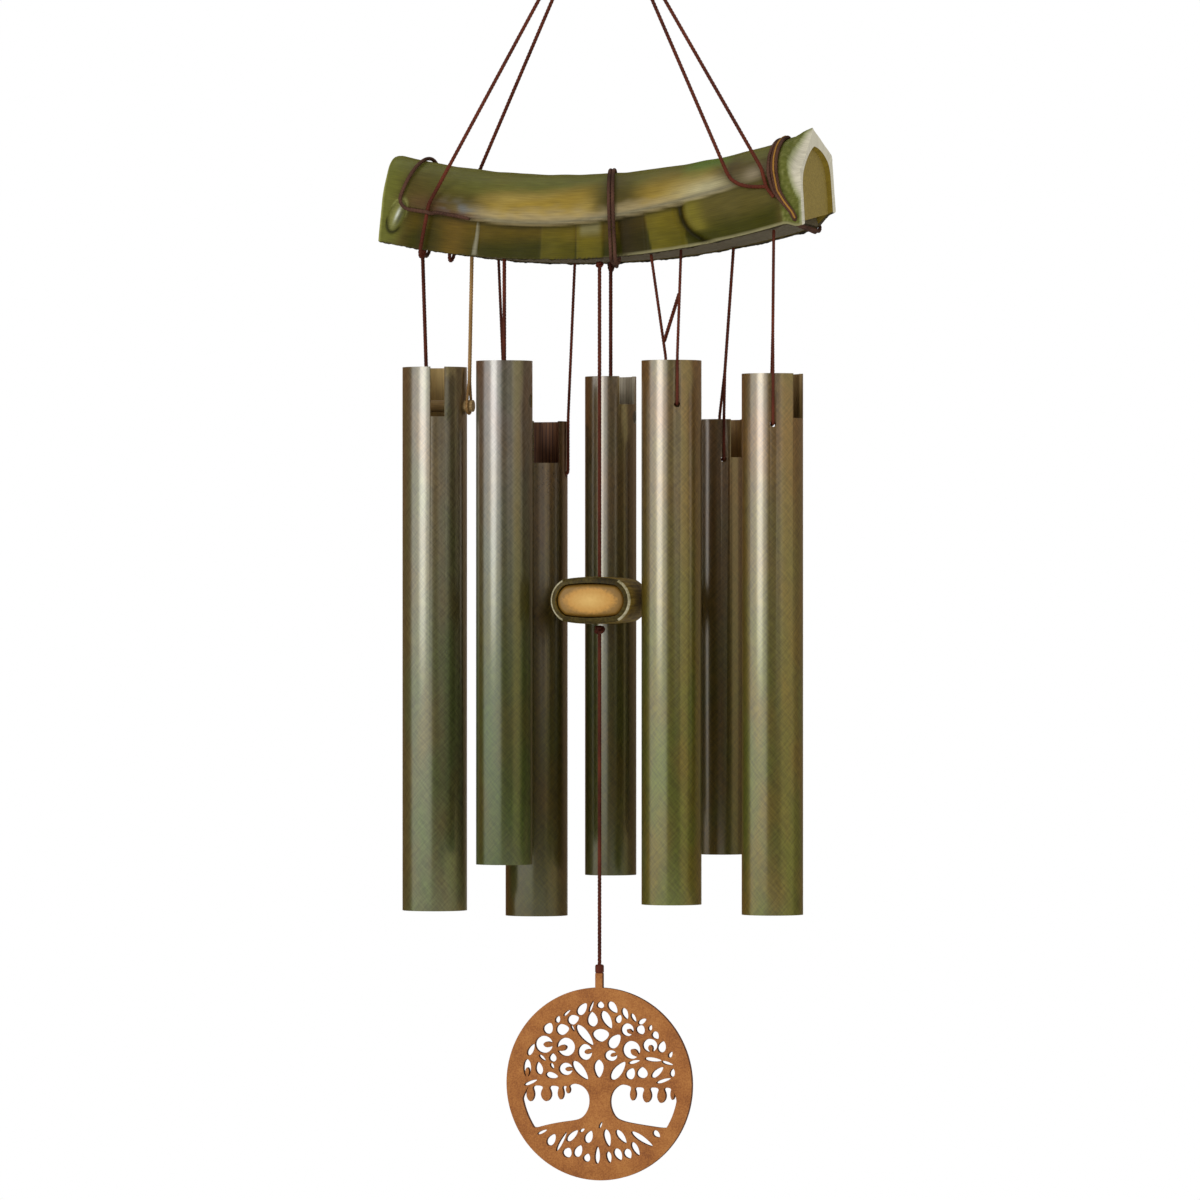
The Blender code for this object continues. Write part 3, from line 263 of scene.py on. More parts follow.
def scar_tint(colour, ring, beside, up):
    """The branch scar: a face paler at the left and darker at the right, with a grey patch and a painted
    glint as its highlight, in a rim painted dark below as painted shadow and pale above as painted highlight.
    """
    face = ink("87864A").lerp(ink("5C5C26"), ease(beside, -0.2, 0.8))
    # Painted highlight: the glint on the polished face.
    face = face.lerp(ink("D2D6C8"), hump(beside, -0.1, 0.17) * hump(up, 0.1, 0.45))
    face = face.lerp(ink("4A4A44"), 0.8 * hump(beside, 0.30, 0.18) * hump(up, 0.0, 0.5))
    colour = colour.lerp(face, 1 - ease(ring, 0.85, 1.0))
    # The rim is painted dark below as painted shadow and pale above as painted highlight.
    shade = hump(ring, 1.06, 0.12)
    colour = colour.lerp(ink("1F1D0B"), 0.9 * shade * ease(-up, 0.2, 0.7))
    return colour.lerp(ink("9A9C58"), 0.6 * shade * ease(up, 0.0, 0.6))


def skin_tint(along, across, height):
    """The colour of the outer skin, and its roughness."""
    lip = lip_height(along)
    front = across < 0
    drift = 0 if front else 7.3
    patch = fibre(along, across, height, 38, 60, drift)
    fine = fibre(along, across, height, 160, 420, drift)
    colour, rough = crown_tint(along, height, lip, patch, fine)
    under = 1 - ease(height, lip - 0.0012, lip - 0.0002)
    under *= between(along, -0.101, -0.090, 0.098, 0.104)
    if under > 0:
        colour = colour.lerp(carved_tint(along, height, lip, patch), under)
        rough = rough + (0.36 - rough) * under
    ring, beside, up = scar(along, height)
    if front and ring < 1.5:
        colour = scar_tint(colour, ring, beside, up)
        rough -= 0.12 if ring <= 1 else 0.0
    mossy = ease(along, 0.1020, 0.1040)
    if mossy > 0:
        grain = fibre(along, across, height, 700, 700)
        moss = ink("5E6228").lerp(ink("72733A"), ease(grain, -0.2, 0.5))
        moss = moss.lerp(ink("92925A"), 0.35 * ease(grain, 0.35, 0.6))
        colour = colour.lerp(moss, mossy)
        rough = rough + (0.62 - rough) * mossy
    cut_in = along - HALF_ARC + sawn_bevel(height)
    fresh = ink("9EA074").lerp(ink("D2CBB4"), ease(cut_in, 0.0, 0.0036))
    colour = colour.lerp(fresh * (1 + 0.06 * fine), ease(cut_in, -0.0004, 0.0004) if front else 0.0)
    brim = 1 - ease(along, -HALF_ARC + 0.0004, -HALF_ARC + 0.0022)
    colour = colour.lerp(ink("B5B56A"), 0.8 * brim)
    foot = 1 - ease(height, 0.0006, 0.0012)
    colour = colour.lerp(ink("968F68"), 0.85 * foot * ease(along + 0.02 * patch, 0.0, 0.04))
    return colour * (1 + 0.16 * fine), min(0.9, max(0.25, rough))


def end_share(along):
    """How far the round section has turned into the pitched one of the sawn end."""
    return ease(along, HALF_ARC - 0.011, HALF_ARC - 0.001)


def slant(along, height):
    """How far both end cuts lean outwards towards the crown; the left one starts further in at the foot."""
    near = ease(abs(along), HALF_ARC - 0.030, HALF_ARC)
    if along > 0:
        return height * near * math.tan(math.radians(12))
    return near * (LEFT_FOOT_INSET - 0.16 * height - 0.006 * (height / 0.0433) ** 5)


def skin_place(along, y, height):
    """A point of the header's wall, with the lean of its end cuts and the twist of the sawn end."""
    end = end_share(along)
    turn = y / HALF_DEPTH
    return header_point(along + slant(along, height) + 0.0018 * turn * end, y,
                        height + (SAWN_LIFT + SAWN_TWIST * turn) * end)


def header_skin():
    """The header's walls as one skin: outside, inside, feet and both cut ends, with its colours."""
    columns = 2 * SKIN_COLUMNS + 2 * FOOT_COLUMNS
    skin = added("header_skin", bpy.ops.mesh.primitive_grid_add, x_subdivisions=columns,
                 y_subdivisions=SKIN_ROWS, size=1)
    tints = skin.data.color_attributes.new("tint", "FLOAT_COLOR", "POINT")
    lay = {}
    for vertex in skin.data.vertices:
        column = round((vertex.co.x + 0.5) * columns)
        along = HALF_ARC * 2 * vertex.co.y
        end = end_share(along)
        outside = column <= SKIN_COLUMNS
        if outside:
            share = column / SKIN_COLUMNS
        elif column <= SKIN_COLUMNS + FOOT_COLUMNS:
            share = 1.0
        elif column <= 2 * SKIN_COLUMNS + FOOT_COLUMNS:
            share = 1 - (column - SKIN_COLUMNS - FOOT_COLUMNS) / SKIN_COLUMNS
        else:
            share = 0.0
        y, height = outer_arch(share, end)
        inner_y, inner_h = arch_point(share, HALF_DEPTH - SIDE_WALL, CROWN_RISE - CROWN_WALL, HOLLOW_SHOULDER,
                                      HOLLOW_PEAK, 0.3 * end)
        if outside:
            outward = arch_out(share, 0.004, end)
            depth = skin_depth(along, y, height)
            colour, rough = skin_tint(along, y, height)
            y, height = y - outward.x * depth, height - outward.y * depth
        elif column <= SKIN_COLUMNS + FOOT_COLUMNS or column > 2 * SKIN_COLUMNS + FOOT_COLUMNS:
            front = column > 2 * SKIN_COLUMNS + FOOT_COLUMNS
            step = (columns - column) if front else (column - SKIN_COLUMNS)
            cross = step / FOOT_COLUMNS
            y = y + (inner_y - y) * cross
            depth = skin_depth(along, -HALF_DEPTH if front else HALF_DEPTH, 0.0) * (1 - cross)
            y += depth if y < 0 else -depth
            fray = noise.noise(Vector((along * 210, y * 300, 3.1)))
            fray += 0.6 * noise.noise(Vector((along * 700, y * 500, 9.4)))
            height = -max(0.0, 0.0004 + 0.0006 * fray) * math.sin(math.pi * min(1, cross * 1.2))
            dark = ease(fray, -0.4, 0.6)
            colour, rough = ink("4E4630").lerp(ink("231E12"), dark), 0.85
            if step == 0:
                colour, height = ink("4A4426").lerp(ink("968F68"), ease(along, 0.0, 0.04)), 0.0
        else:
            y, height = inner_y, inner_h
            colour = ink("8F7A2E") * (1 + 0.2 * fibre(along, y, height, 40, 400))
            rough = 0.75
        vertex.co = skin_place(along, y, height)
        tints.data[vertex.index].color = (*colour, rough)
        lay[vertex.index] = (along, share * 0.13)
    strands = skin.data.uv_layers["UVMap"]
    for loop in skin.data.loops:
        strands.data[loop.index].uv = lay[loop.vertex_index]
    bpy.ops.object.mode_set(mode="EDIT")
    bpy.ops.mesh.select_all(action="SELECT")
    bpy.ops.mesh.remove_doubles(threshold=1e-6)
    bpy.ops.mesh.select_all(action="DESELECT")
    bpy.ops.object.mode_set(mode="OBJECT")
    close_ends(skin)
    return skin


def close_ends(skin):
    """Bridge the outer and inner edges at both ends with the sawn, cream-coloured wood of the wall."""
    bm = bmesh.new()
    bm.from_mesh(skin.data)
    tint = bm.verts.layers.float_color["tint"]
    rims = [edge for edge in bm.edges if edge.is_boundary]
    fresh = bmesh.ops.holes_fill(bm, edges=rims, sides=0)["faces"]
    cut = bmesh.ops.extrude_face_region(bm, geom=fresh)
    bmesh.ops.delete(bm, geom=fresh, context="FACES_ONLY")
    lids = [part for part in cut["geom"] if isinstance(part, bmesh.types.BMFace)]
    for part in cut["geom"]:
        if isinstance(part, bmesh.types.BMVert):
            right = part.co.x > 0
            part.co.x += 0.0001 if right else -0.0001
            grain = noise.noise(part.co * 300)
            part[tint] = (*(ink("D6D0BA") if right else ink("A3A564")) * (1 + 0.06 * grain), 0.6)
    bmesh.ops.triangulate(bm, faces=lids)
    bmesh.ops.recalc_face_normals(bm, faces=bm.faces)
    bm.to_mesh(skin.data)
    bm.free()


def node(look, kind, settings=None, **inputs):
    """Add a shader node, set its properties and colour stops, and set or link its inputs."""
    made = look.node_tree.nodes.new(kind)
    for name, value in (settings or {}).items():
        if name == "stops":
            stops = made.color_ramp.elements
            while len(stops) < len(value):
                stops.new(1.0)
            for stop, (place, colour) in zip(stops, value):
                stop.position = place
                stop.color = (*(ink(colour) if isinstance(colour, str) else (colour,) * 3), 1)
        else:
            setattr(made, name, value)
    wire(look, made, **inputs)
    return made


def wire(look, made, **inputs):
    """Set a node's inputs, or link them to a socket or to another node's first output."""
    for name, value in inputs.items():
        socket = made.inputs[int(name[1:])] if name[1:].isdigit() else made.inputs[name.replace("_", " ")]
        if isinstance(value, bpy.types.Node):
            value = value.outputs[0]
        if isinstance(value, bpy.types.NodeSocket):
            look.node_tree.links.new(value, socket)
        else:
            opaque = isinstance(value, Vector) and socket.type == "RGBA"
            socket.default_value = (*value, 1) if opaque else value


def new_look(name):
    """An empty material, with its shader and its output joined."""
    look = bpy.data.materials.new(name)
    look.use_nodes = True
    look.node_tree.nodes.clear()
    shader = node(look, "ShaderNodeBsdfPrincipled")
    node(look, "ShaderNodeOutputMaterial", Surface=shader)
    return look, shader


def added(name, add, **options):
    """Start a piece from a primitive, with nothing else selected, and settle its place and turn."""
    bpy.ops.object.select_all(action="DESELECT")
    add(**options)
    piece = bpy.context.object
    piece.name = name
    bpy.ops.object.transform_apply(location=True, rotation=True, scale=True)
    return piece


def belongs(piece, body, slot, *cad_names):
    """Tie a piece to its body, in place of the CAD nodes that it stands for; the slot is not used."""
    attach(piece, body)
    for cad_name in cad_names:
        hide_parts(cad_name)


# Fresh bamboo, dried and lightly oiled: long fibres show as fine streaks, under a soft gloss
bamboo_skin, shader = new_look("oiled_bamboo_skin")
paint = node(bamboo_skin, "ShaderNodeAttribute", {"attribute_name": "tint"})
strand_map = node(bamboo_skin, "ShaderNodeUVMap", {"uv_map": "UVMap"})
streaks = node(bamboo_skin, "ShaderNodeMapping", Vector=strand_map, Scale=(90, 1900, 1))
fibres = node(bamboo_skin, "ShaderNodeTexNoise", Vector=streaks, Scale=1.0, Detail=5.0)
shade = node(bamboo_skin, "ShaderNodeMapRange", Value=fibres, From_Min=0.3, From_Max=0.7, To_Min=0.80,
             To_Max=1.16)
toned = node(bamboo_skin, "ShaderNodeVectorMath", {"operation": "SCALE"}, i0=paint, Scale=shade)
relief = node(bamboo_skin, "ShaderNodeBump", Strength=0.30, Distance=0.0003, Height=fibres)
wire(bamboo_skin, shader, Base_Color=toned, Roughness=paint.outputs["Alpha"], Normal=relief,
     Specular_IOR_Level=0.07)

header = header_skin()
header.data.materials.append(bamboo_skin)
bpy.ops.object.shade_smooth_by_angle(angle=math.radians(42))
belongs(header, "header_group", "bamboo_skin", "header")

# Joint walls: the solid partitions that bamboo grows at its nodes. One closes each end of the header a little
# way in, and shows as bare straw-coloured wood behind the sawn arch.
NODE_WALL = 0.003
NODE_WALL_AT = HALF_ARC - 0.0025 - NODE_WALL / 2


def shaped(piece, kind, **settings):
    """Give the active piece a modifier and apply it."""
    modifier = piece.modifiers.new(kind.lower(), kind)
    for name, value in settings.items():
        setattr(modifier, name, value)
    bpy.ops.object.modifier_apply(modifier=modifier.name)


def cells(look, scale, detail):
    """Noise in the object's own space, with so many cells a metre, alike all round or axis by axis."""
    place = node(look, "ShaderNodeTexCoord").outputs["Object"]
    if isinstance(scale, tuple):
        place, scale = node(look, "ShaderNodeMapping", Vector=place, Scale=scale), 1.0
    return node(look, "ShaderNodeTexNoise", Vector=place, Scale=scale, Detail=detail)


def grained(name, stops, scale, roughness, detail=4.0, relief=0.0, deep=0.0002):
    """A material with one noise behind its colours and its relief."""
    look, shader = new_look(name)
    grain = cells(look, scale, detail)
    tone = node(look, "ShaderNodeValToRGB", {"stops": stops}, Fac=grain)
    wire(look, shader, Base_Color=tone, Roughness=roughness)
    if relief:
        wire(look, shader, Normal=node(look, "ShaderNodeBump", Strength=relief, Distance=deep, Height=grain))
    return look, shader


def raw_bamboo(name, pale, deep):
    """Bare split bamboo: dull straw-coloured wood with close lengthwise fibres about 0.7 mm apart."""
    return grained(name, ((0.32, deep), (0.68, pale)), (60, 1500, 1500), 0.72, relief=0.25, deep=0.0003)[0]


raw_wood = raw_bamboo("raw_split_bamboo", "A08A3A", "7C6A28")
WALL_FIT = 0.0008
WALL_FOOT = 0.0015
for side, end_name in ((-1, "left"), (1, "right")):
    wall = added(f"joint_wall_{end_name}", bpy.ops.mesh.primitive_grid_add, x_subdivisions=40,
                 y_subdivisions=14, size=1)
    for vertex in wall.data.vertices:
        end = end_share(side * NODE_WALL_AT) * (side > 0)
        y, top = arch_point(0.5 + vertex.co.x * 0.98, HALF_DEPTH - SIDE_WALL + WALL_FIT,
                            CROWN_RISE - CROWN_WALL + WALL_FIT, HOLLOW_SHOULDER + WALL_FIT,
                            HOLLOW_PEAK + WALL_FIT, 0.3 * end)
        y *= abs(math.sin(math.pi * vertex.co.x)) ** 0.02
        height = WALL_FOOT + (top - WALL_FOOT) * (vertex.co.y + 0.5)
        bulge = 0.0008 * math.cos(math.pi * y / 0.06) * math.sin(math.pi * (vertex.co.y + 0.5))
        vertex.co = skin_place(side * NODE_WALL_AT + bulge * side, y, height)
    shaped(wall, "SOLIDIFY", thickness=NODE_WALL, offset=0)
    bpy.ops.object.shade_smooth_by_angle(angle=math.radians(40))
    wall.data.materials.append(raw_wood)
    belongs(wall, "header_group", "bamboo_wood")

# Cord bar: a split bamboo slat laid inside the header, flush with its lower edge, that carries every cord.
# Coloured dark as painted shade of the header's hollow, and held up by the lashings that pass under it.
CORD = 0.002
BAR_THICKNESS = 0.008
BAR_HALF_WIDTH = HALF_DEPTH - SIDE_WALL - CORD - 2 * 0.0004
BAR_HALF_LENGTH = NODE_WALL_AT - NODE_WALL / 2 - 0.001
slat = added("cord_slat", bpy.ops.mesh.primitive_grid_add, x_subdivisions=80, y_subdivisions=10, size=1)
for vertex in slat.data.vertices:
    share = vertex.co.x + 0.5
    along = LEFT_FOOT_INSET - BAR_HALF_LENGTH + (2 * BAR_HALF_LENGTH - LEFT_FOOT_INSET) * share
    uneven = 0.0002 * noise.noise(Vector((along * 120, vertex.co.y * 4, 0)))
    vertex.co = header_point(along, 2 * BAR_HALF_WIDTH * vertex.co.y, BAR_THICKNESS / 2 + uneven)
shaped(slat, "SOLIDIFY", thickness=BAR_THICKNESS - 0.0004, offset=0)
shaped(slat, "BEVEL", width=0.0008, segments=3, angle_limit=math.radians(60))
bpy.ops.object.shade_smooth_by_angle(angle=math.radians(40))
# The slat's dark brown is painted shade.
slat.data.materials.append(raw_bamboo("shade_darkened_split_bamboo", "6A6040", "3E3620"))
belongs(slat, "header_group", "bamboo_wood", "cord_bar")

# Lashings: brown waxed cotton cord, three plies laid up to 2 mm. The middle and right ones are wound tight
# round header and slat, the right one with a thin gold thread in it; the left one is a loop hitched to the
# hanger cord.
CORD_OFFSET = CORD / 2 + 0.00055
FACE = HALF_DEPTH + CORD_OFFSET
LASHING_PITCH = 0.0021
LEFT_LASHING_INSET = 0.0135
LEFT_LOOP_INSET, LEFT_LOOP_HEIGHT, LEFT_LOOP_CORNER = 0.0124, 0.0183, 0.0058
LEFT_HANGER_INSET = 0.0290
# How far inside the right end the right lashing runs, from its back foot, over the crown, to its front foot
RIGHT_LASHING_WAY = ((0.0, 0.0125), (0.40, 0.0120), (0.53, 0.0090), (0.59, 0.0102), (0.70, 0.0126),
                     (0.76, 0.0134), (0.83, 0.0124), (0.89, 0.0092), (0.95, 0.0058), (1.0, 0.0046))
TUCK_Y = (HALF_DEPTH - SIDE_WALL + BAR_HALF_WIDTH) / 2


def waxed_cord(name, light, dark):
    """Waxed cotton: dull, with fibres about 0.4 mm apart and slow changes of tone over 15 mm."""
    look, shader = new_look(name)
    lint, drift = cells(look, 2600.0, 3.0), cells(look, 70.0, 2.0)
    both = node(look, "ShaderNodeMath", {"operation": "ADD"}, i0=lint, i1=drift)
    halve = node(look, "ShaderNodeMath", {"operation": "MULTIPLY"}, i0=both, i1=0.5)
    tone = node(look, "ShaderNodeValToRGB", {"stops": ((0.35, dark), (0.65, light))}, Fac=halve)
    relief = node(look, "ShaderNodeBump", Strength=0.5, Distance=0.0002, Height=lint)
    wire(look, shader, Base_Color=tone, Normal=relief, Roughness=0.62, Specular_IOR_Level=0.15)
    return look


red_cord = waxed_cord("red_brown_waxed_cord", "70321E", "3E190F")
brown_cord = waxed_cord("brown_waxed_cord", "664434", "301E16")
gold_thread = waxed_cord("gold_thread", "B8863A", "7A5420")
tan_cord = waxed_cord("tan_waxed_cord", "C39A62", "8E6A3C")


def laid_cord(name, route, body, look, diameter=CORD, lay=0.0056, stands_for=(), slot="red_brown_cord"):
    """A three-ply cord along a route: a lobed section that turns once in each lay length."""
    path = []
    for before, after in zip(route, route[1:]):
        steps = max(1, round((after - before).length / (0.25 * diameter)))
        path += [before.lerp(after, i / steps) for i in range(steps)]
    path.append(route[-1])
    for _ in range(10):
        inner = [(a + 2 * b + c) / 4 for a, b, c in zip(path, path[1:], path[2:])]
        path = [path[0], *inner, path[-1]]
    sides = 12
    crown = [diameter / 2 * scale for scale in (1.0, 0.94, 0.80, 0.94)]
    rows, run = [], 0.0
    ahead = (path[1] - path[0]).normalized()
    side = ahead.orthogonal().normalized()
    bm = bmesh.new()
    for i, point in enumerate(path):
        if i:
            run += (point - path[i - 1]).length
        onward = (path[min(i + 1, len(path) - 1)] - path[max(i - 1, 0)]).normalized()
        side = ahead.rotation_difference(onward) @ side
        side = (side - onward * side.dot(onward)).normalized()
        ahead = onward
        other = onward.cross(side)
        row = []
        for k in range(sides):
            turn = 2 * math.pi * (k / sides + run / lay)
            row.append(bm.verts.new(point + (side * math.cos(turn) + other * math.sin(turn)) * crown[k % 4]))
        rows.append(row)
    for low, high in zip(rows, rows[1:]):
        for k in range(sides):
            bm.faces.new((low[k], low[(k + 1) % sides], high[(k + 1) % sides], high[k]))
    bm.faces.new(rows[0][::-1])
    bm.faces.new(rows[-1])
    for face in bm.faces:
        face.smooth = True
    data = bpy.data.meshes.new(name)
    bm.to_mesh(data)
    bm.free()
    made = bpy.data.objects.new(name, data)
    bpy.context.collection.objects.link(made)
    data.materials.append(look)
    belongs(made, body, slot, *stands_for)


def wrap_point(along, share, offset):
    """A point off the header's outer skin, from the back foot at share 0 over the crown to the front at 1."""
    rise = HEADER_FOOT + CROWN_RISE * math.sin(math.pi * share)
    end = end_share(along - slant(along, rise))
    here, out = outer_arch(1 - share, end), arch_out(1 - share, 0.01, end)
    y, height = here[0] + out.x * offset, here[1] + out.y * offset
    return y, height + (SAWN_LIFT + SAWN_TWIST * y / HALF_DEPTH) * end


def tuck(along, side, outwards):
    """A cord's end inside the header, brought round the foot of a side wall."""
    middle, bow = (TUCK_Y + FACE) / 2, (FACE - TUCK_Y) / 2
    points = [header_point(along, side * TUCK_Y, 0.007), header_point(along, side * TUCK_Y, 0.005)]
    for i in range(13):
        angle = math.pi * i / 12
        points.append(header_point(along, side * (middle - bow * math.cos(angle)), -bow * math.sin(angle)))
    return points if outwards else points[::-1]


def under_slat(cross):
    """The height of a lashing that runs under the slat, from -1 at the front foot to 1 at the back one."""
    return -CORD_OFFSET * min(1.0, (1 - abs(cross)) * 14) - 0.0004 * (abs(cross) < 0.95)


def lashing_route(start, lean, turns):
    """The winding's route: over the crown from back to front, under the slat, and over again."""
    points = tuck(start - lean * FACE, 1, True)
    for turn in range(turns):
        for i in range(1, 40):
            along = start + LASHING_PITCH * (turn + 0.5 * i / 40)
            y, height = wrap_point(along, i / 40, CORD_OFFSET)
            points.append(header_point(along - lean * y, y, height))
        if turn < turns - 1:
            for i in range(13):
                cross = -1 + 2 * i / 12
                y = FACE * cross
                along = start + LASHING_PITCH * (turn + 0.5 + 0.5 * i / 12)
                points.append(header_point(along - lean * y, y, under_slat(cross)))
    return points + tuck(start + LASHING_PITCH * (turns - 0.5) + lean * FACE, -1, False)


def right_lashing_route(turns, shift=0.0, lift=-0.0004):
    """As lashing_route, but the front of each turn bows to the left and then runs down to the sawn corner."""
    front_foot, back_foot = RIGHT_LASHING_WAY[-1][1], RIGHT_LASHING_WAY[0][1]
    points = []
    for turn in range(turns):
        for i in range(1, 60):
            share = i / 60
            for (low, low_inset), (high, high_inset) in zip(RIGHT_LASHING_WAY, RIGHT_LASHING_WAY[1:]):
                if low <= share <= high:
                    inset = low_inset + (high_inset - low_inset) * (share - low) / (high - low)
            gather = 1 - 0.75 * ease(share, 0.75, 0.95)
            along = HALF_ARC - inset + (shift + LASHING_PITCH * (turn + 0.5 * share)) * gather
            points.append(header_point(along, *wrap_point(along, share, CORD_OFFSET + lift)))
        if turn < turns - 1:
            for i in range(1, 13):
                cross = -1 + 2 * i / 12
                along = HALF_ARC - front_foot - (back_foot - front_foot) * i / 12
                along += LASHING_PITCH * (turn + 1) * i / 12
                points.append(header_point(along, FACE * cross, under_slat(cross)))
    return points


def on_face(along, height, lift=0.0):
    """A point where a cord lies on the front of the header, lifted off it where it crosses another cord."""
    climb = min(1.0, max(0.0, height - HEADER_FOOT) / (CROWN_RISE + CORD_OFFSET))
    return header_point(along, -(FACE + lift) * math.sqrt(1 - climb ** 2), height)


def left_loop_route():
    """Up the back, over the crown, down in a loop to the lip, and hitched over the hanger cord in front."""
    start = LEFT_LASHING_INSET - HALF_ARC
    points = tuck(start, 1, True)
    for i in range(1, 20):
        points.append(header_point(start, *wrap_point(start, i / 40, CORD_OFFSET)))
    top, low = HEADER_FOOT + CROWN_RISE + CORD_OFFSET, LEFT_LOOP_HEIGHT + LEFT_LOOP_CORNER
    for i in range(25):
        height = top + (low - top) * (i / 24) ** 1.6
        rise = (height - low) / (top - low)
        inset = LEFT_LOOP_INSET + (LEFT_LASHING_INSET - LEFT_LOOP_INSET) * rise ** 1.2
        points.append(on_face(inset - HALF_ARC, height))
    for i in range(1, 13):
        angle = math.pi / 2 * i / 12
        points.append(on_face(LEFT_LOOP_INSET + LEFT_LOOP_CORNER * (1 - math.cos(angle)) - HALF_ARC,
                              LEFT_LOOP_HEIGHT + LEFT_LOOP_CORNER * (1 - math.sin(angle))))
    for beyond, above, lift in ((-0.0024, 0.0002, 0.0004), (0.0, 0.0004, 0.0021), (0.0022, -0.0004, 0.0002)):
        points.append(on_face(LEFT_HANGER_INSET + beyond - HALF_ARC, LEFT_LOOP_HEIGHT + above, lift))
    for i in range(1, 9):
        along = LEFT_HANGER_INSET + 0.0022 + 0.0026 * i - HALF_ARC
        points.append(on_face(along, lip_height(along) - 0.0002, -0.0006 - 0.00012 * i))
    return points


for name, route in (("left_lashing", left_loop_route()), ("centre_lashing", lashing_route(0.0052, 0.25, 2)),
                    ("right_lashing", right_lashing_route(3))):
    laid_cord(f"{name}_cord", route, "header_group", brown_cord, stands_for=[name])
thread_route = right_lashing_route(1, 1.5 * LASHING_PITCH, 0.0004)
laid_cord("right_lashing_thread", thread_route, "header_group", gold_thread, 0.0010, 0.0030)

# Hanging ring: 3 mm steel wire bent to a ring and butt-welded, with a slight swelling at the weld. A hook or
# nail passes through it.
RING_RADIUS = 0.012
RING_WIRE = 0.003
RING_CENTRE = -(RING_RADIUS - RING_WIRE / 2)
ring = added("steel_ring", bpy.ops.mesh.primitive_torus_add, major_segments=120, minor_segments=20,
             major_radius=RING_RADIUS, minor_radius=RING_WIRE / 2, location=(0, 0, RING_CENTRE),
             rotation=(math.radians(90), 0, 0))
for vertex in ring.data.vertices:
    centre = Vector((vertex.co.x, 0, vertex.co.z - RING_CENTRE))
    weld = hump(math.atan2(centre.z, centre.x), math.radians(150), 0.07)
    middle = centre.normalized() * RING_RADIUS + Vector((0, 0, RING_CENTRE))
    vertex.co = middle + (vertex.co - middle) * (1 + 0.10 * weld)
bpy.ops.object.shade_smooth()
# Bright drawn steel wire, dulled by weather: metallic, with faint patches about 2.5 mm across
steel, shader = new_look("drawn_steel_wire")
haze = cells(steel, 420.0, 4.0)
tone = node(steel, "ShaderNodeValToRGB", {"stops": ((0.3, "7C7A74"), (0.7, "B2B1AC"))}, Fac=haze)
wear = node(steel, "ShaderNodeMapRange", Value=haze, To_Min=0.25, To_Max=0.5)
wire(steel, shader, Base_Color=tone, Roughness=wear, Metallic=1.0)
ring.data.materials.append(steel)
belongs(ring, "ring", "steel_wire", "hang_ring")

# Gathering knot: the four hanger cords meet here and turn through the ring in one loop. Six turns of the same
# cord are whipped round them below it.
LOOP_RADIUS = 0.005
LOOP_CORD = 0.0024
LOOP_CENTRE = RING_CENTRE - RING_RADIUS + RING_WIRE / 2 + 0.0003 - (LOOP_RADIUS - LOOP_CORD / 2)
GATHER_TOP = LOOP_CENTRE - LOOP_RADIUS
GATHER_HEIGHT = 0.013
GATHER_FOOT = GATHER_TOP - GATHER_HEIGHT
GATHER_RADIUS = 0.0055
WHIPPING_TURNS, TURN_POINTS = 6, 24
loop_route = []
for i in range(49):
    turn = math.radians(-68 + 316 * i / 48)
    loop_route.append(Vector((0, LOOP_RADIUS * math.cos(turn), LOOP_CENTRE + LOOP_RADIUS * math.sin(turn))))
loop_route = [Vector((0, 0.0016, GATHER_TOP - 0.003)), *loop_route, Vector((0, -0.0016, GATHER_TOP - 0.003))]
laid_cord("ring_loop", loop_route, "header_group", red_cord, LOOP_CORD, stands_for=["gather_knot"])
whipping = []
for i in range(WHIPPING_TURNS * TURN_POINTS + 1):
    turn = 2 * math.pi * i / TURN_POINTS
    share = i / (WHIPPING_TURNS * TURN_POINTS)
    swell = 0.0032 + 0.0013 * math.sin(math.pi * share)
    whipping.append(Vector((swell * math.cos(turn), swell * math.sin(turn),
                            GATHER_TOP + 0.0004 - (GATHER_HEIGHT - 0.0022) * share - 0.001)))
laid_cord("gather_whipping", whipping, "header_group", red_cord)
heart = added("gather_heart", bpy.ops.mesh.primitive_cylinder_add, vertices=32, radius=0.0034,
              depth=GATHER_HEIGHT - 0.001, location=(0, 0, GATHER_TOP - GATHER_HEIGHT / 2))
shaped(heart, "BEVEL", width=0.0016, segments=4)
bpy.ops.object.shade_smooth()
heart.data.materials.append(red_cord)
belongs(heart, "header_group", "red_brown_cord")

# Hanger cords: four lengths of the same cord, taut between the gathering knot and the header. The two on the
# left go round its wall, one in front and one behind; the two on the right end under the right lashing.
SPREAD = 0.3 * 2 * GATHER_RADIUS


def from_knot(x, y):
    """A hanger cord's first points: inside the gathering knot, and where it leaves the knot's foot."""
    return [Vector((math.copysign(0.0012, x), math.copysign(0.001, y), GATHER_FOOT + 0.004)),
            Vector((x, y, GATHER_FOOT - 0.0005))]


for name, side, inset in (("left_front_hanger", -1, LEFT_HANGER_INSET), ("left_back_hanger", 1, 0.0268)):
    route = from_knot(-SPREAD, side * 0.5 * SPREAD) + [header_point(inset - HALF_ARC, side * FACE, 0.0225)]
    route += tuck(inset - HALF_ARC, side, False)
    laid_cord(f"{name}_cord", route, "header_group", red_cord, stands_for=[name])
for name, spread, places in (
        ("right_inner_hanger", 0.5, ((0.0352, 0.0323), (0.0330, 0.0285), (0.0290, 0.0250), (0.0240, 0.0226),
                                     (0.0190, 0.0212), (0.0140, 0.0200))),
        ("right_outer_hanger", -0.7, ((0.0160, 0.0302), (0.0152, 0.0250), (0.0146, 0.0195),
                                      (0.0120, 0.0140)))):
    route = from_knot(SPREAD, spread * SPREAD)
    route += [on_face(HALF_ARC - inset, height) for inset, height in places]
    laid_cord(f"{name}_cord", route, "header_group", red_cord, stands_for=[name])
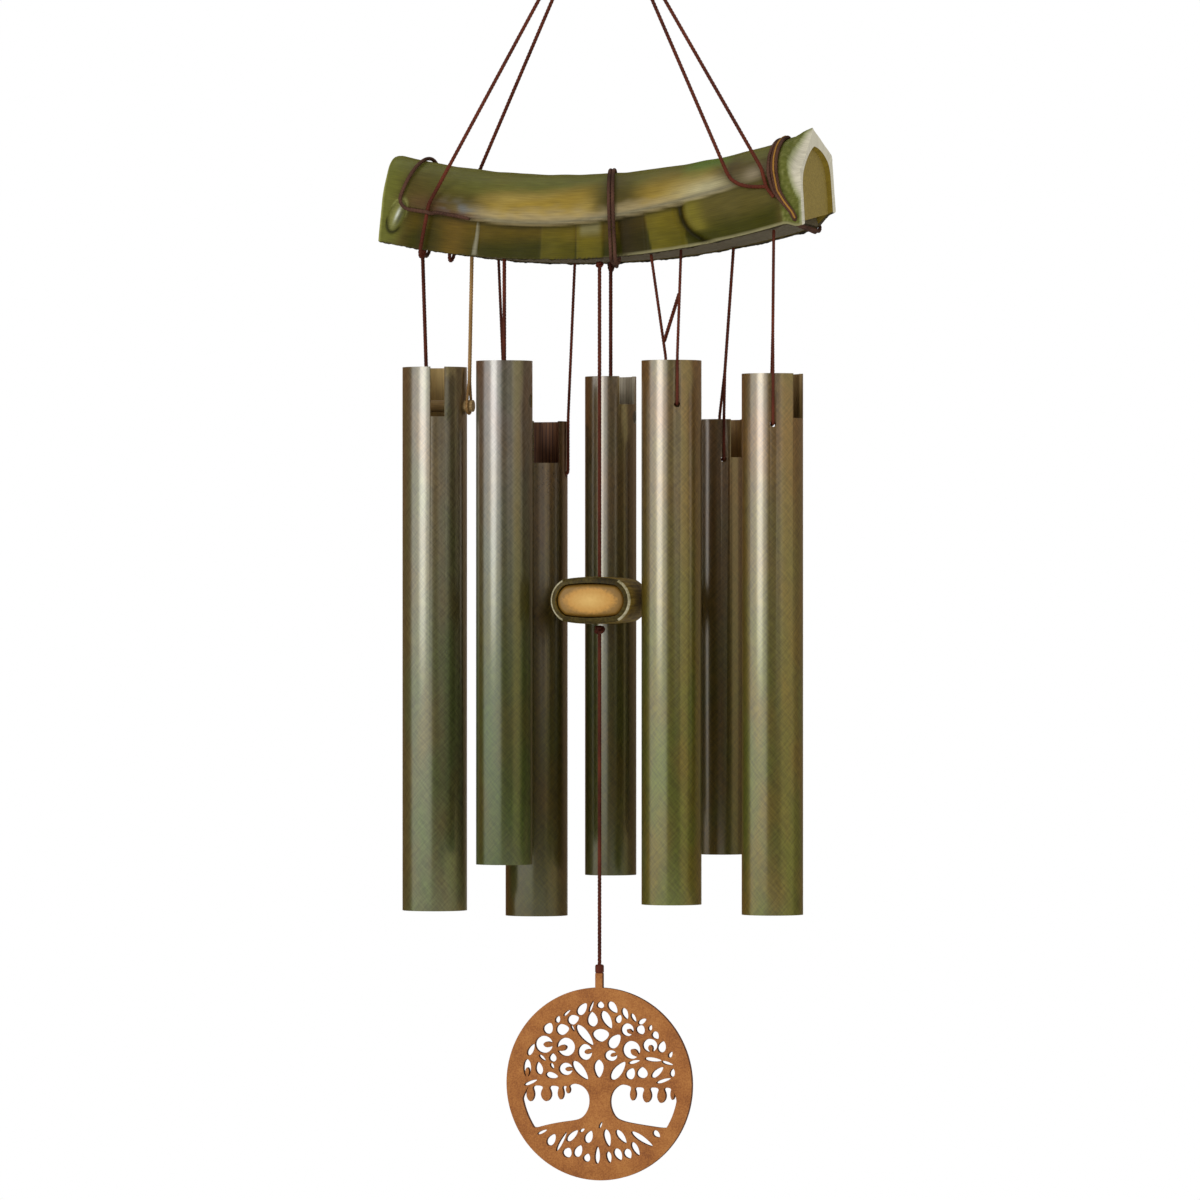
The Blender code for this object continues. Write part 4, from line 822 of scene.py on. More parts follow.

# Tubes: seven lengths of thin aluminium pipe, sawn, most of them notched in the rim, and drilled crosswise
# for a cord or a dowel. The outside is rubbed with a fine crossed grit and stained olive bronze; the inside
# is duller and more golden, in tones painted lighter or darker from tube to tube as painted light and shade.
TUBE_WALL = 0.0018
DOWEL = 0.006
STRAND_SPACING = 0.0015
STRAND = 0.0016
STRAND_LAY = 0.0048
CORD_BORE = 0.0015
# Each tube's place, size and drop of its cross hole; the turn from the front of holes for a cord; its cords'
# tops; the rim slot's turn, width and depth; the tones of the inside, set tube by tube as painted light and
# shade; and the colours of the stain at top and foot
TUBE_ROWS = (
    {"name": "tube_1", "x": -0.087, "y": 0.0, "wide": 0.0325, "top": -0.277, "long": 0.273,
     "hole": 0.0195, "cords": (-0.0935,), "slot": (22, 0.007, 0.025), "inside": ("947A46", "C6AA6C"),
     "stain": ("706442", "65683C")},
    {"name": "tube_2", "x": -0.0445, "y": -0.020, "wide": 0.0282, "top": -0.2747, "long": 0.2512,
     "hole": 0.020, "cords": (-0.0445,), "stain": ("685E50", "505822")},
    {"name": "tube_3", "x": -0.0395, "y": 0.020, "wide": 0.0313, "top": -0.3041, "long": 0.2487,
     "hole": 0.027, "turn": 90, "cords": (-0.0195, -0.0595), "slot": (37, 0.0135, 0.021),
     "inside": ("30120A", "8A5C38"), "stain": ("604A20", "4E4612")},
    {"name": "tube_4", "x": -0.0007, "y": 0.020, "wide": 0.0258, "top": -0.2818, "long": 0.2502,
     "hole": 0.0205, "cords": (-0.0007,), "slot": (60, 0.0105, 0.014), "inside": ("948974", "CCC2AC"),
     "stain": ("665228", "4C4812")},
    {"name": "tube_5", "x": 0.0421, "y": -0.020, "wide": 0.0298, "top": -0.2752, "long": 0.2698,
     "hole": 0.022, "turn": 26, "cords": (0.047, 0.0315), "stain": ("7C6434", "6C6A22")},
    {"name": "tube_6", "x": 0.0571, "y": 0.020, "wide": 0.0246, "top": -0.3037, "long": 0.2174,
     "hole": 0.020, "turn": 20, "cords": (0.0632,), "slot": (56, 0.008, 0.019),
     "inside": ("7A5C34", "A8854E"), "stain": ("68502C", "564A16")},
    {"name": "tube_7", "x": 0.09385, "y": -0.020, "wide": 0.0304, "top": -0.2822, "long": 0.2673,
     "hole": 0.025, "turn": 16, "cords": (0.09455,), "slot": (76, 0.0095, 0.022),
     "stain": ("7A6232", "706C2A")},
)


def stained_tube(row):
    """Brushed aluminium, stained: crossed rubbing marks about 1 mm apart, drawn coarser than the real ones so
    that they show, a bloom of green and copper in patches of 15 mm, a stain that turns greener towards the
    foot, and a lacquer that is thickest at the top."""
    look, shader = new_look(f"stained_{row['name']}")
    surface = node(look, "ShaderNodeUVMap", {"uv_map": "UVMap"})
    rubbed = []
    for lean in (42, -42):
        stroke = node(look, "ShaderNodeMapping", {"vector_type": "TEXTURE"}, Vector=surface,
                      Rotation=(0, 0, math.radians(lean)), Scale=(0.0010, 0.0090, 1))
        rubbed.append(node(look, "ShaderNodeTexNoise", Vector=stroke, Scale=1.0, Detail=2.0))
    grit = node(look, "ShaderNodeMath", {"operation": "ADD"}, i0=rubbed[0], i1=rubbed[1])
    blotch_map = node(look, "ShaderNodeMapping", Vector=surface, Scale=(70, 24, 1),
                      Location=(row["x"] * 100, row["wide"] * 300, 0))
    blotch = node(look, "ShaderNodeTexNoise", Vector=blotch_map, Scale=1.0, Detail=3.0)
    height = node(look, "ShaderNodeSeparateXYZ", Vector=surface).outputs["Y"]
    ends = {"Value": height, "From_Min": row["top"], "From_Max": row["top"] - row["long"]}
    drop = node(look, "ShaderNodeMapRange", To_Min=-0.25, To_Max=0.75, **ends)
    lacquer = node(look, "ShaderNodeMapRange", To_Min=1.0, To_Max=0.3, **ends)
    patchy = node(look, "ShaderNodeMath", {"operation": "MULTIPLY_ADD"}, i0=blotch, i1=0.5, i2=drop)
    high, low = row["stain"]
    stain = node(look, "ShaderNodeValToRGB", {"stops": ((0.1, high), (0.6, low))}, Fac=patchy)
    bloom = node(look, "ShaderNodeValToRGB", {"stops": ((0.36, "B4C2B2"), (0.5, "BCBCBC"), (0.64, "C9B8AE"))},
                 Fac=blotch)
    tone = node(look, "ShaderNodeVectorMath", {"operation": "MULTIPLY"}, i0=stain, i1=bloom)
    marks = node(look, "ShaderNodeMapRange", Value=grit, From_Min=0.75, From_Max=1.25, To_Min=1.5, To_Max=2.5)
    toned = node(look, "ShaderNodeVectorMath", {"operation": "SCALE"}, i0=tone, Scale=marks)
    relief = node(look, "ShaderNodeBump", Strength=0.22, Distance=0.0002, Height=grit)
    gloss = node(look, "ShaderNodeMapRange", Value=blotch, To_Min=0.24, To_Max=0.36)
    wire(look, shader, Base_Color=toned, Roughness=gloss, Normal=relief, Metallic=0.6, Coat_Weight=lacquer,
         Coat_Roughness=0.22, Coat_IOR=2.5)
    return look


def inside_with_painted_light(row):
    """Bare drawn aluminium inside the pipe, with drawing lines 0.7 mm apart; its tones are set tube by tube
    as painted light and shade, from pale grey in tube 4 to dark red-brown in tube 3.
    """
    # Per-tube tones: painted light and shade on the inner wall.
    deep, pale = row.get("inside", ("5E4626", "8E7443"))
    stops = ((0.3, deep), (0.7, pale))
    look, shader = grained(f"inside_{row['name']}", stops, (1400, 1400, 25), 0.5, detail=3.0)
    wire(look, shader, Metallic=0.3)
    return look


def cut_away(target, tool):
    """Saw or drill one shape out of another, take the tool away and go on with the shape."""
    bpy.ops.object.select_all(action="DESELECT")
    target.select_set(True)
    bpy.context.view_layer.objects.active = target
    shaped(target, "BOOLEAN", operation="DIFFERENCE", solver="EXACT", object=tool)
    bpy.data.objects.remove(tool)


def facing(turn):
    """A level direction, turned from the front towards +X."""
    angle = math.radians(turn)
    return Vector((math.sin(angle), -math.cos(angle), 0))


def cut_tube(row):
    """One tube: pipe wall, rim slot, cross holes and softened edges."""
    radius = row["wide"] / 2
    middle = Vector((row["x"], row["y"], row["top"] - row["long"] / 2))
    pipe = added(f"{row['name']}_pipe", bpy.ops.mesh.primitive_cylinder_add, vertices=96, radius=radius,
                 depth=row["long"], end_fill_type="NOTHING", location=middle)
    shaped(pipe, "SOLIDIFY", thickness=TUBE_WALL, offset=-1)
    across = facing(row["turn"]) if "turn" in row else Vector((1, 0, 0))
    bore = CORD_BORE if "turn" in row else DOWEL / 2 + 0.0003
    bpy.ops.mesh.primitive_cylinder_add(vertices=32, radius=bore, depth=2 * radius + 0.004,
                                        location=(row["x"], row["y"], row["top"] - row["hole"]),
                                        rotation=across.to_track_quat("Z", "Y").to_euler())
    cut_away(pipe, bpy.context.object)
    if "slot" in row:
        turn, width, depth = row["slot"]
        foot = Vector((row["x"], row["y"], row["top"] - depth / 2 + 0.001)) + facing(turn) * radius
        bpy.ops.mesh.primitive_cube_add(size=1, location=foot, rotation=(0, 0, math.radians(turn)),
                                        scale=(width, 6 * TUBE_WALL, depth + 0.002))
        cut_away(pipe, bpy.context.object)
    shaped(pipe, "BEVEL", width=0.00025, segments=2, limit_method="ANGLE", angle_limit=math.radians(40))
    bpy.ops.object.shade_smooth_by_angle(angle=math.radians(35))
    unroll(pipe, row)
    return pipe


def unroll(pipe, row):
    """Give the pipe its materials, and lay its surface flat in metres: the round in u, the height in v."""
    data = pipe.data
    flat = data.uv_layers["UVMap"] if "UVMap" in data.uv_layers else data.uv_layers.new(name="UVMap")
    radius = row["wide"] / 2
    data.materials.append(stained_tube(row))
    data.materials.append(inside_with_painted_light(row))
    for face in data.polygons:
        spoke = Vector((face.center.x - row["x"], face.center.y - row["y"]))
        face.material_index = 1 if spoke.length < radius - 0.0005 else 0
        facing_angle = math.atan2(spoke.x, -spoke.y)
        for corner in face.loop_indices:
            point = data.vertices[data.loops[corner].vertex_index].co
            angle = math.atan2(point.x - row["x"], row["y"] - point.y)
            angle += 2 * math.pi * round((facing_angle - angle) / (2 * math.pi))
            flat.data[corner].uv = (radius * angle, point.z)


for row in TUBE_ROWS:
    belongs(cut_tube(row), f"{row['name']}_group", "bronzed_tube", row["name"])

# Dowels: short lengths of turned beech, pushed through three of the tubes from side to side to carry the
# cord's loop. Tube 1's stands out on the right for its second cord; the other two took the tubes' stain.
beech = grained("turned_beech", ((0.3, "9C7C48"), (0.7, "C2A46C")), (110, 1600, 1600), 0.6, relief=0.2)[0]
stained_beech = raw_bamboo("stained_beech", "64563A", "463A22")
DOWEL_SUNK, DOWEL_PROUD = 0.0008, 0.0042
for row in TUBE_ROWS:
    if "turn" in row:
        continue
    inset = row["wide"] / 2 - DOWEL_SUNK
    reach = row["wide"] / 2 + DOWEL_PROUD if row["name"] == "tube_1" else inset
    middle = Vector((row["x"] + (reach - inset) / 2, row["y"], row["top"] - row["hole"]))
    dowel = added(f"{row['name']}_beech_dowel", bpy.ops.mesh.primitive_cylinder_add, vertices=40,
                  radius=DOWEL / 2, depth=reach + inset, location=middle, rotation=(0, math.radians(90), 0))
    shaped(dowel, "BEVEL", width=0.0004, segments=3, angle_limit=math.radians(40))
    bpy.ops.object.shade_smooth_by_angle(angle=math.radians(30))
    dowel.data.materials.append(beech if row["name"] == "tube_1" else stained_beech)
    belongs(dowel, f"{row['name']}_group", "dowel_wood", f"{row['name']}_dowel")

# Tube cords: the same red-brown cord, doubled. A loop hangs from the slat and passes under a dowel, or out
# over the rim and in through the tube's two holes; its ends are knotted on top of the slat.
def slat_foot(x):
    """The height of the slat's underside at x."""
    return header_point(BEND_RADIUS * math.asin(x / BEND_RADIUS), 0, 0).z


def bent(before, corner, after, radius):
    """The points of an arc in place of a sharp corner."""
    back, on = (before - corner).normalized(), (after - corner).normalized()
    half = back.angle(on) / 2
    centre = corner + (back + on).normalized() * radius / math.sin(half)
    start = (corner + back * radius / math.tan(half) - centre).normalized()
    end = (corner + on * radius / math.tan(half) - centre).normalized()
    return [centre + start.slerp(end, i / 6) * radius for i in range(7)]


def dowel_loop(x_top, x_dowel, y, dowel_z):
    """Two strands side by side from the slat down to a dowel, parting to go round its lower side."""
    bow = DOWEL / 2 + STRAND / 2 + 0.0001
    low = []
    for i in range(17):
        turn = math.pi * i / 16
        low.append(Vector((x_dowel, y - bow * math.cos(turn), dowel_z - bow * math.sin(turn))))
    top = Vector((x_top, y, slat_foot(x_top) - 0.0002))
    meet = Vector((x_dowel, y, dowel_z)).lerp(top, 0.012 / (top.z - dowel_z))
    across = Vector((0, STRAND_SPACING / 2, 0))
    return [top - across, meet - across, *low, meet + across, top + across]


def through_loop(row):
    """Two strands from the slat, parting above the rim, and straight through both holes in the tube."""
    out = facing(row["turn"])
    side = row["wide"] / 2 + STRAND / 2 + 0.0001
    middle = Vector((row["x"], row["y"], 0))
    rim = Vector((0, 0, row["top"] + 0.002))
    tops = [Vector((x, row["y"], slat_foot(x) - 0.0002)) for x in row["cords"]]
    above_front, above_back = [], []
    if len(tops) == 1:
        apart = out * STRAND_SPACING / 2
        meet = (middle + rim).lerp(tops[0], 0.022 / (tops[0].z - rim.z))
        above_front, above_back = [meet + apart], [meet - apart]
        tops = [tops[0] + apart, tops[0] - apart]
    front_rim, back_rim = (middle + out * side * sign + rim for sign in (1, -1))
    hole = Vector((0, 0, row["top"] - row["hole"]))
    front_hole, back_hole = (middle + out * side * sign + hole for sign in (1, -1))
    return [tops[0], *above_front, front_rim, *bent(front_rim, front_hole, back_hole, STRAND),
            *bent(front_hole, back_hole, back_rim, STRAND), back_rim, *above_back, tops[1]]


def stopper_knot(name, x, y, stands_for, look=red_cord, slot="red_brown_cord"):
    """A cord's two ends, brought up through the slat and tied in a round stopper on top of it."""
    along = BEND_RADIUS * math.asin(x / BEND_RADIUS)
    up = (header_point(along, y, 1) - header_point(along, y, 0)).normalized()
    ahead = Vector((up.z, 0, -up.x))
    foot = header_point(along, y, 0.0002)
    seat = header_point(along, y, BAR_THICKNESS + 0.0026)
    across = Vector((0, 1, 0))
    apart, neck = ahead * 0.0013, up * 0.0018
    route = [foot - apart, seat - apart - neck]
    for i in range(73):
        turn = 2 * math.pi * (i / 72) + math.pi
        reach = 0.0021 + 0.0009 * math.cos(1.5 * turn)
        swirl = 2 * turn
        route.append(seat + ahead * reach * math.cos(swirl) + across * reach * math.sin(swirl)
                     + up * 0.0012 * math.sin(1.5 * turn))
    route += [seat + apart - neck, foot + apart]
    laid_cord(name, route, "header_group", look, stands_for=[stands_for], slot=slot)


for row in TUBE_ROWS:
    name = row["name"]
    if "turn" in row:
        route = through_loop(row)
    else:
        top = row["cords"][0]
        route = dowel_loop(top, row["x"] + (top - row["x"]) * 0.6, row["y"], row["top"] - row["hole"])
    laid_cord(f"{name}_loop", route, f"{name}_cord_group", red_cord, STRAND, STRAND_LAY, [f"{name}_cord"])
    for x, second in zip(row["cords"], ("", "_second")):
        stopper_knot(f"{name}{second}_stopper", x, row["y"], f"{name}{second}_knot")
TUBE_1, TUBE_5 = TUBE_ROWS[0], TUBE_ROWS[4]
SIDE_CORD_TOP = -0.0675
side_x = TUBE_1["x"] + TUBE_1["wide"] / 2 + STRAND / 2 + 0.0009
laid_cord("tube_1_tan_loop", dowel_loop(SIDE_CORD_TOP, side_x, TUBE_1["y"], TUBE_1["top"] - TUBE_1["hole"]),
          "tube_1_cord_group", tan_cord, STRAND, STRAND_LAY, ["tube_1_side_cord"], "tan_cord")
stopper_knot("tube_1_tan_stopper", SIDE_CORD_TOP, TUBE_1["y"], "tube_1_side_knot", tan_cord, "tan_cord")
strands = through_loop(TUBE_5)
front, back = strands[0].lerp(strands[1], 0.40), strands[-1].lerp(strands[-2], 0.86)
way = (back - front).normalized()
laid_cord("tube_5_cross_tie", [front + way * 0.0012, back - way * 0.0012], "tube_5_cord_group", red_cord,
          stands_for=["tube_5_tie"])

# Clapper: a length of dark oiled bamboo sleeve, round-ended in section, with a pale wooden core pressed into
# it. It is threaded on the middle cord, which is knotted above and below.
CLAPPER_X, CLAPPER_Y = 0.0035, -0.015
CLAPPER_TOP = -0.3825
CLAPPER_WIDTH, CLAPPER_HEIGHT, CLAPPER_LENGTH = 0.0415, 0.0234, 0.036
CLAPPER_WALL = 0.003
HOLLOW_WIDTH, HOLLOW_HEIGHT = CLAPPER_WIDTH - 2 * CLAPPER_WALL, CLAPPER_HEIGHT - 2 * CLAPPER_WALL
CORE_FIT = 0.0006
CLAPPER_MIDDLE = Vector((CLAPPER_X, CLAPPER_Y, CLAPPER_TOP - CLAPPER_HEIGHT / 2))


def clapper_block(name, width, height, length, rounding):
    """A block with a long round section, its end edges rounded over."""
    block = added(name, bpy.ops.mesh.primitive_cylinder_add, vertices=64, radius=height / 2, depth=length,
                  location=CLAPPER_MIDDLE, rotation=(math.radians(90), 0, 0))
    for vertex in block.data.vertices:
        share = (vertex.co.x - CLAPPER_X) / (height / 2)
        vertex.co.x += (width - height) / 2 * math.copysign(min(1.0, abs(share) * 2.2), share)
    shaped(block, "BEVEL", width=rounding, segments=5, limit_method="ANGLE", angle_limit=math.radians(60))
    return block


def drill_clapper(block):
    """The upright hole for the cord, and smooth shading with crisp edges."""
    bpy.ops.mesh.primitive_cylinder_add(vertices=32, radius=CORD_BORE, depth=2 * CLAPPER_HEIGHT,
                                        location=CLAPPER_MIDDLE)
    cut_away(block, bpy.context.object)
    bpy.ops.object.shade_smooth_by_angle(angle=math.radians(38))


def mottled(name, colours, grain, patch, blend, gloss):
    """A material of fine grain and large patches, each given by its noise's scale and detail. Blend holds the
    patches' share, the sum at which the colours end, and the strength of the relief."""
    look, shader = new_look(name)
    share, top, relief = blend
    fine, broad = cells(look, *grain), cells(look, *patch)
    both = node(look, "ShaderNodeMath", {"operation": "MULTIPLY_ADD"}, i0=broad, i1=share, i2=fine)
    spread = node(look, "ShaderNodeMapRange", Value=both, From_Min=0.6, From_Max=top)
    stops = tuple(zip((0.1, 0.5, 0.9), colours))
    tone = node(look, "ShaderNodeValToRGB", {"stops": stops}, Fac=spread)
    bump = node(look, "ShaderNodeBump", Strength=relief, Distance=0.0002, Height=fine)
    wire(look, shader, Base_Color=tone, Normal=bump, Roughness=gloss)
    return look, shader


sleeve = clapper_block("clapper_bamboo_sleeve", CLAPPER_WIDTH, CLAPPER_HEIGHT, CLAPPER_LENGTH, 0.0028)
hollow = clapper_block("clapper_hollow", HOLLOW_WIDTH, HOLLOW_HEIGHT, CLAPPER_LENGTH + 0.01, 0.0002)
cut_away(sleeve, hollow)
drill_clapper(sleeve)
# Oiled bamboo: fibres 1.1 mm apart along Y, with darker patches about 10 mm long. The left and right bevels
# of the front rim are painted pale as a painted highlight, and the rest of the front end is dark
for name, colours, gloss in (("oiled_clapper_bamboo", ("5A4614", "7A6222", "947C36"), 0.6),
                             ("highlight_painted_clapper_rim", ("8E8460", "B4AA88", "CCC4A6"), 0.5),
                             ("dark_clapper_edge", ("2A2108", "40340F", "54471C"), 0.4)):
    oiled, shader = mottled(name, colours, ((900, 900 / 14, 900), 4.0), (110.0, 2.0), (0.8, 1.2, 0.2), gloss)
    wire(oiled, shader, Specular_IOR_Level=0.15)
    sleeve.data.materials.append(oiled)
# Front faces turned to the left and right take the pale painted highlight; the other front faces take the
# dark edge colour.
for face in sleeve.data.polygons:
    pale_edge = abs(face.normal.x) > 0.22
    if -0.80 < face.normal.y < -0.45 and pale_edge:
        face.material_index = 1
    elif face.normal.y < -0.45:
        face.material_index = 2
belongs(sleeve, "clapper_group", "clapper_bamboo", "clapper_sleeve")
core = clapper_block("clapper_wooden_core", HOLLOW_WIDTH - CORE_FIT, HOLLOW_HEIGHT - CORE_FIT,
                     CLAPPER_LENGTH - 0.001, 0.003)
drill_clapper(core)
# Pale softwood, sawn across: golden in the middle and darker towards its edges, with pores 1.4 mm apart
pale_core, shader = new_look("pale_core_wood")
place = node(pale_core, "ShaderNodeTexCoord").outputs["Object"]
half_core = (CLAPPER_WIDTH / 2 - CLAPPER_WALL, 1, CLAPPER_HEIGHT / 2 - CLAPPER_WALL)
from_heart = node(pale_core, "ShaderNodeMapping", {"vector_type": "TEXTURE"}, Vector=place,
                  Location=CLAPPER_MIDDLE, Scale=half_core)
heart = node(pale_core, "ShaderNodeVectorMath", {"operation": "LENGTH"}, i0=from_heart).outputs["Value"]
pores = cells(pale_core, 700.0, 3.0)
blend = node(pale_core, "ShaderNodeMath", {"operation": "MULTIPLY_ADD"}, i0=pores, i1=0.35, i2=heart)
tone = node(pale_core, "ShaderNodeValToRGB", {"stops": ((0.2, "DDB262"), (0.8, "C48F3C"), (1.0, "8A6626"))},
            Fac=blend)
wire(pale_core, shader, Base_Color=tone, Roughness=0.5)
core.data.materials.append(pale_core)
belongs(core, "clapper_group", "clapper_wood", "clapper_core")


def round_knot(name, centre, size, body, stands_for):
    """A small overhand knot pulled tight round the cord: a three-lobed winding that fills a ball."""
    route = []
    for i in range(97):
        turn = 4 * math.pi * i / 96
        reach = size * (0.24 + 0.09 * math.cos(1.5 * turn))
        route.append(centre + Vector((reach * math.cos(turn), reach * math.sin(turn),
                                      size * 0.20 * math.sin(1.5 * turn))))
    laid_cord(name, route, body, red_cord, diameter=0.36 * size, lay=0.004, stands_for=stands_for)


KNOT_SIZE, FOOT_KNOT_SIZE = 0.0044, 0.0060
KNOT_CENTRE = Vector((CLAPPER_X, CLAPPER_Y, slat_foot(CLAPPER_X) - 0.0005 - KNOT_SIZE / 2))
stopper_knot("clapper_stopper", CLAPPER_X, CLAPPER_Y, "clapper_top_knot")
round_knot("clapper_cord_knot", KNOT_CENTRE, KNOT_SIZE, "clapper_knot_group", ["clapper_upper_knot"])
route = [KNOT_CENTRE - Vector((0, 0, 0.0008)), Vector((CLAPPER_X, CLAPPER_Y, CLAPPER_TOP - CLAPPER_HEIGHT))]
laid_cord("clapper_hanging_cord", route, "clapper_group", red_cord, stands_for=["clapper_cord"])
LOWER_KNOT = Vector((CLAPPER_X, CLAPPER_Y, CLAPPER_TOP - CLAPPER_HEIGHT - 0.0003 - 0.0026))
round_knot("clapper_foot_knot", LOWER_KNOT, FOOT_KNOT_SIZE, "clapper_group", ["clapper_lower_knot"])

# Sail: a round plate of 3 mm sheet steel, cut through as a tree with leaves and roots, and left to rust
# evenly. It hangs by a tab with a crimped bead on its own cord.
SAIL_RADIUS = 0.048
SAIL_THICKNESS = 0.003
CUT_EDGE = 0.0002
SAIL_CENTRE = Vector((CLAPPER_X, CLAPPER_Y, -0.587 - SAIL_RADIUS))
TAB_HALF, TAB_HEIGHT = 0.0019, 0.0072
# Openings in millimetres from the plate's centre: place, length, width, and the long axis's turn in degrees
CELLS = (
    (-3.9, 38.6, 6.2, 1.2, 68), (0.8, 39.4, 3.4, 3.2, 90), (7.2, 38.2, 6.8, 3.4, -50),
    (-8.7, 37.2, 7.2, 3.6, 51), (13.6, 35.2, 6.0, 2.6, -68), (10.2, 32.5, 4.4, 2.8, 60),
    (-3.4, 32.2, 7.4, 4.6, 95), (4.1, 32.0, 9.8, 3.8, -61), (-13.3, 31.9, 6.2, 4.0, 20),
    (-16.6, 35.2, 4.6, 1.1, 40), (-21.3, 31.9, 3.6, 2.2, 70), (-13.6, 27.6, 3.6, 1.0, -60),
    (-18.8, 26.9, 6.8, 4.6, 10), (-26.2, 27.4, 5.8, 4.2, 60), (-7.3, 24.2, 13.0, 3.8, -49),
    (0.9, 24.2, 6.4, 7.2, -90), (21.6, 27.4, 4.6, 4.0, 60), (29.3, 24.6, 4.2, 3.0, -50),
    (18.0, 33.2, 4.8, 1.8, -60), (22.4, 31.5, 4.8, 2.0, 30), (26.6, 28.4, 3.0, 1.7, 70),
    (8.1, 21.4, 8.4, 4.6, 47), (32.6, 19.0, 5.8, 3.6, 70), (-35.2, 16.6, 6.6, 2.4, 60),
    (-23.9, 12.8, 4.2, 3.2, 90), (-31.0, 7.4, 6.4, 3.2, 100), (-29.3, 12.6, 4.4, 1.4, -40),
    (-9.6, 6.6, 11.8, 3.8, -49), (9.9, 6.8, 11.4, 4.0, 50), (16.4, 5.4, 6.0, 4.0, 60),
    (22.4, 6.0, 5.6, 4.8, 90), (30.2, 6.3, 7.8, 2.6, 40), (18.2, 11.3, 6.0, 1.3, 15),
    (28.0, 12.6, 8.6, 1.7, -5), (35.4, 10.9, 6.0, 1.3, -15), (-24.4, 3.9, 6.4, 2.6, -10),
    (-24.2, 8.6, 3.2, 1.5, -60), (37.0, 15.2, 3.4, 1.7, 60), (38.0, 6.2, 4.2, 2.2, 80),
    (-35.4, 0.2, 7.2, 1.3, 22), (33.4, 2.2, 7.8, 1.3, 18), (-24.6, -28.2, 6.6, 3.4, 55),
    (-29.4, -24.4, 5.4, 1.1, 24), (-19.4, -29.0, 11.0, 1.5, 61), (-13.8, -26.0, 7.8, 2.6, 43),
    (-5.2, -26.4, 6.6, 3.4, 65), (-8.7, -23.2, 3.0, 1.2, 30), (0.9, -20.4, 3.6, 1.0, 65),
    (4.4, -26.8, 8.8, 3.0, -78), (11.6, -26.0, 8.2, 2.8, -51), (22.3, -27.0, 13.0, 2.5, -32),
    (29.8, -24.4, 4.4, 2.5, -40), (19.0, -32.0, 7.6, 2.6, -60), (-16.3, -34.4, 5.0, 4.0, 60),
    (-10.7, -33.6, 6.4, 3.5, 62), (-6.2, -36.8, 4.2, 3.1, 65), (-0.8, -35.4, 8.8, 2.3, 88),
    (5.2, -36.4, 5.8, 2.3, -80), (10.0, -34.9, 6.4, 3.4, -62), (15.0, -34.5, 5.2, 3.4, -60),
)
# Round openings with a leaf that reaches in: place, width, height, and the side that the leaf grows from
BUDS = (
    (14.7, 27.2, 6.6, 6.4, -35), (-28.5, 19.3, 9.2, 8.6, 0), (-17.1, 18.2, 9.4, 9.2, 195),
    (-7.2, 15.8, 7.4, 8.0, 10), (6.2, 14.2, 6.6, 5.4, 20), (16.8, 17.2, 9.2, 9.0, -40),
    (26.4, 19.6, 7.6, 6.6, -80), (-37.2, 7.4, 4.0, 8.8, -90), (-17.2, 7.2, 7.2, 6.2, 0),
)
# Windows beside the trunk: the trunk's edge, the leaves that hang in (place, half width, drop), the ground
LEFT_TRUNK = [(8.2, -16.8), (5.4, -12.6), (4.7, -8.2), (5.4, -4.4), (7.9, -1.4), (11.3, 0.0), (14.0, -0.3)]
RIGHT_TRUNK = [(8.6, -16.8), (6.3, -12.6), (5.7, -8.2), (6.6, -4.4), (9.0, -1.4), (12.0, 0.0), (14.6, -0.3)]
LEFT_LEAVES = ((16.0, 1.2, 5.2), (19.8, 1.7, 8.4), (27.4, 2.9, 9.4), (35.6, 2.2, 9.6))
RIGHT_LEAVES = ((17.6, 1.7, 8.3), (24.8, 2.4, 9.2), (32.3, 2.4, 9.3), (38.0, 1.2, 7.6))
LEFT_GROUND = [(33.6, -22.6), (27.8, -20.9), (20.1, -19.3), (12.6, -18.3)]
RIGHT_GROUND = [(34.0, -21.6), (24.3, -20.3), (16.2, -19.1), (12.4, -18.3)]
DIAMOND = [(-0.2, 1.4), (3.3, 8.6), (-0.1, 13.2), (-3.5, 8.6)]


def leaf_opening(x, z, length, width, turn):
    """A leaf-shaped opening, blunt at one end."""
    angle = math.radians(turn)
    points = []
    for i in range(24):
        t = 2 * math.pi * i / 24
        along = length / 2 * math.cos(t)
        across = 0.59 * width * math.sin(t) * (1 - 0.24 * math.cos(t)) * (0.8 + 0.2 * abs(math.sin(t)))
        points.append((x + along * math.cos(angle) - across * math.sin(angle),
                       z + along * math.sin(angle) + across * math.cos(angle)))
    return points


def bud_opening(x, z, width, height, turn):
    """A round opening with a leaf that reaches in on a short stalk."""
    angle = math.radians(turn)
    out_x, out_z = math.cos(angle), math.sin(angle)
    points = []
    for i in range(25):
        t = angle + 0.16 + (2 * math.pi - 0.32) * i / 24
        points.append((x + width / 2 * math.cos(t), z + height / 2 * math.sin(t)))
    reach = math.hypot(width / 2 * out_x, height / 2 * out_z)
    half = 0.085 * (width + height)
    for share, spread in ((0.72, 0.75), (0.45, 1.0), (0.15, 0.85), (-0.12, 0.0), (0.15, -0.85), (0.45, -1.0),
                          (0.72, -0.75)):
        points.append((x + out_x * reach * share + out_z * half * spread,
                       z + out_z * reach * share - out_x * half * spread))
    return softened(points, 1)


def softened(points, rounds):
    """Cut the corners off an outline, again and again."""
    for _ in range(rounds):
        grown = []
        for (ax, az), (bx, bz) in zip(points, points[1:] + points[:1]):
            grown += [(0.75 * ax + 0.25 * bx, 0.75 * az + 0.25 * bz),
                      (0.25 * ax + 0.75 * bx, 0.25 * az + 0.75 * bz)]
        points = grown
    return points


